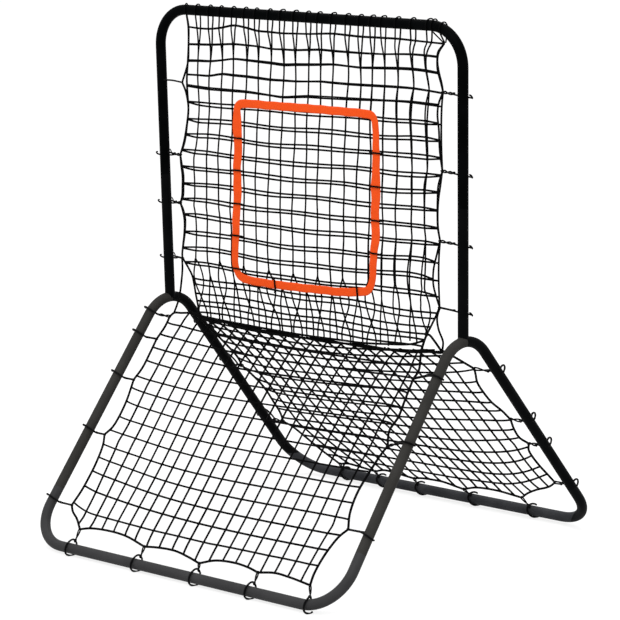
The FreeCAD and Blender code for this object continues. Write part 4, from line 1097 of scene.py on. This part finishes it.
def band_width(x, rise):
    """Width of the band, from its level runs to the uneven sides."""
    table = LEFT_WIDTH if x < 0 else RIGHT_WIDTH
    side = float(np.interp(rise, *zip(*table)))
    t = float(ease((abs(x) - 205) / 30))
    return LEVEL_WIDTH * (1 - t) + side * t


def band_rings():
    """Rings of the band's section all the way round, and the way along it."""
    loop = np.array([(x, rise) for x, rise in BAND + BAND[:1]], float) + BAND_SHIFT
    line = smooth(np.column_stack([loop, np.zeros(len(loop))]), 5.0)[:-1, :2]
    ahead = np.roll(line, -1, 0) - np.roll(line, 1, 0)
    ahead /= np.linalg.norm(ahead, axis=1)[:, None]
    outward = np.column_stack([-ahead[:, 1], ahead[:, 0]])
    rings = []
    for n, (centre, way) in enumerate(zip(line, outward)):
        ripple = 0.35 * math.sin(n * 0.9) + 0.25 * math.sin(n * 0.37)
        edge = 0.45 * math.sin(n * 0.53)
        places = [(centre + way * (across * band_width(*centre) + edge), thick) for across, thick in SECTION]
        rings.append([upright_at(x, rise, BAND_Y - thick * BAND_THICK + ripple) for (x, rise), thick in places])
    return np.array(rings), lengths(np.vstack([line, line[:1]])) * MM


band = Strands()
band.skin(*band_rings(), [across + 0.5 for across, _ in SECTION + SECTION[:1]], closed=True, turned=True)
band.piece("target_webbing", webbing_orange, "orange_webbing", "target_band")

# Net cords that pass over the band and hold it: (rise, x) at its sides, (x, rise) at its lower run.
OVER_LEFT = ((1050, -253), (962, -256), (871, -259), (783, -262), (692, -265))
OVER_RIGHT = ((1048, 237), (960, 236), (871, 235), (784, 233))
OVER_LOW = ((166, 676), (-128, 665))
stitch = Strands()
for group, half in ((OVER_LEFT, 24), (OVER_RIGHT, 22)):
    for rise, x in group:
        centre = x + 2
        over = [upright_at(centre + aside, rise, BAND_Y - proud)
                for aside, proud in ((-15, 2.8), (0, 3.2), (15, 2.8))]
        line = [sheet_point(centre - half, rise, -1), *over, sheet_point(centre + half, rise, -1)]
        stitch.add(smooth(line, 4.0), COLUMN_R, 7)
for x, rise in OVER_LOW:
    over = [upright_at(x + aside, rise + up, BAND_Y - proud)
            for aside, up, proud in ((0, 13, 2.6), (1, 0, 3.0), (3, -13, 2.6))]
    line = [sheet_point(x - 1, rise + 22, -1), *over, sheet_point(x + 5, rise - 24, -1)]
    stitch.add(smooth(line, 4.0), COLUMN_R, 7)
stitch.piece("band_stitches", net_black, "net_cord")


# Floor, light and background: the floor and the world look whiter to the camera than they light the frame.

WHITE = (1, 1, 1, 1)


def camera_rays(tree):
    """One where the camera looks, straight or by a reflection, and the kinds of ray."""
    ray = tree.node("ShaderNodeLightPath").outputs
    return tree.math("MAXIMUM", ray["Is Camera Ray"], ray["Is Glossy Ray"]), ray


floor_mesh = bpy.data.meshes.new("floor")
floor_mesh.from_pydata([(-30, -30, 0), (30, -30, 0), (30, 30, 0), (-30, 30, 0)], [], [(0, 1, 2, 3)])
floor = add_object("floor", floor_mesh)
floor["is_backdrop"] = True
paint = bpy.data.materials.new("floor_white")
floor_mesh.materials.append(paint)
tree = Tree(paint, "ShaderNodeOutputMaterial")
looked_at, _ = camera_rays(tree)
lit, shadowed = (tree.node("ShaderNodeBsdfDiffuse", (value, value, value, 1)).outputs[0] for value in (0.55, 0.3))
glow = tree.node("ShaderNodeEmission", WHITE, 0.78).outputs[0]
both = tree.node("ShaderNodeAddShader", shadowed, glow).outputs[0]
tree.last(tree.node("ShaderNodeMixShader", looked_at, lit, both))

world = bpy.data.worlds.new("studio")
scene.world = world
tree = Tree(world, "ShaderNodeOutputWorld")
looked_at, ray = camera_rays(tree)
looked_at = tree.math("MAXIMUM", looked_at, ray["Is Transmission Ray"])
dim, bright = (tree.node("ShaderNodeBackground", WHITE, power).outputs[0] for power in (0.86, 1.0))
tree.last(tree.node("ShaderNodeMixShader", looked_at, dim, bright))


def lamp(name, place, aim, size, power):
    light = bpy.data.lights.new(name, "AREA")
    light.shape = "RECTANGLE"
    light.size = light.size_y = size
    light.energy = power
    obj = add_object(name, light)
    obj.location = place
    obj.rotation_mode = "QUATERNION"
    obj.rotation_quaternion = (Vector(aim) - Vector(place)).to_track_quat("-Z", "Y")


lamp("key", (1.2, -3.4, 4.6), (0, 0, 0.5), 2.6, 115)
lamp("top", (-1.0, 1.4, 4.8), (0, 0, 0.4), 3.0, 70)

scene.view_settings.view_transform = "Standard"

size = {"cad": cad_box, "visual": [list(corner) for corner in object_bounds()]}
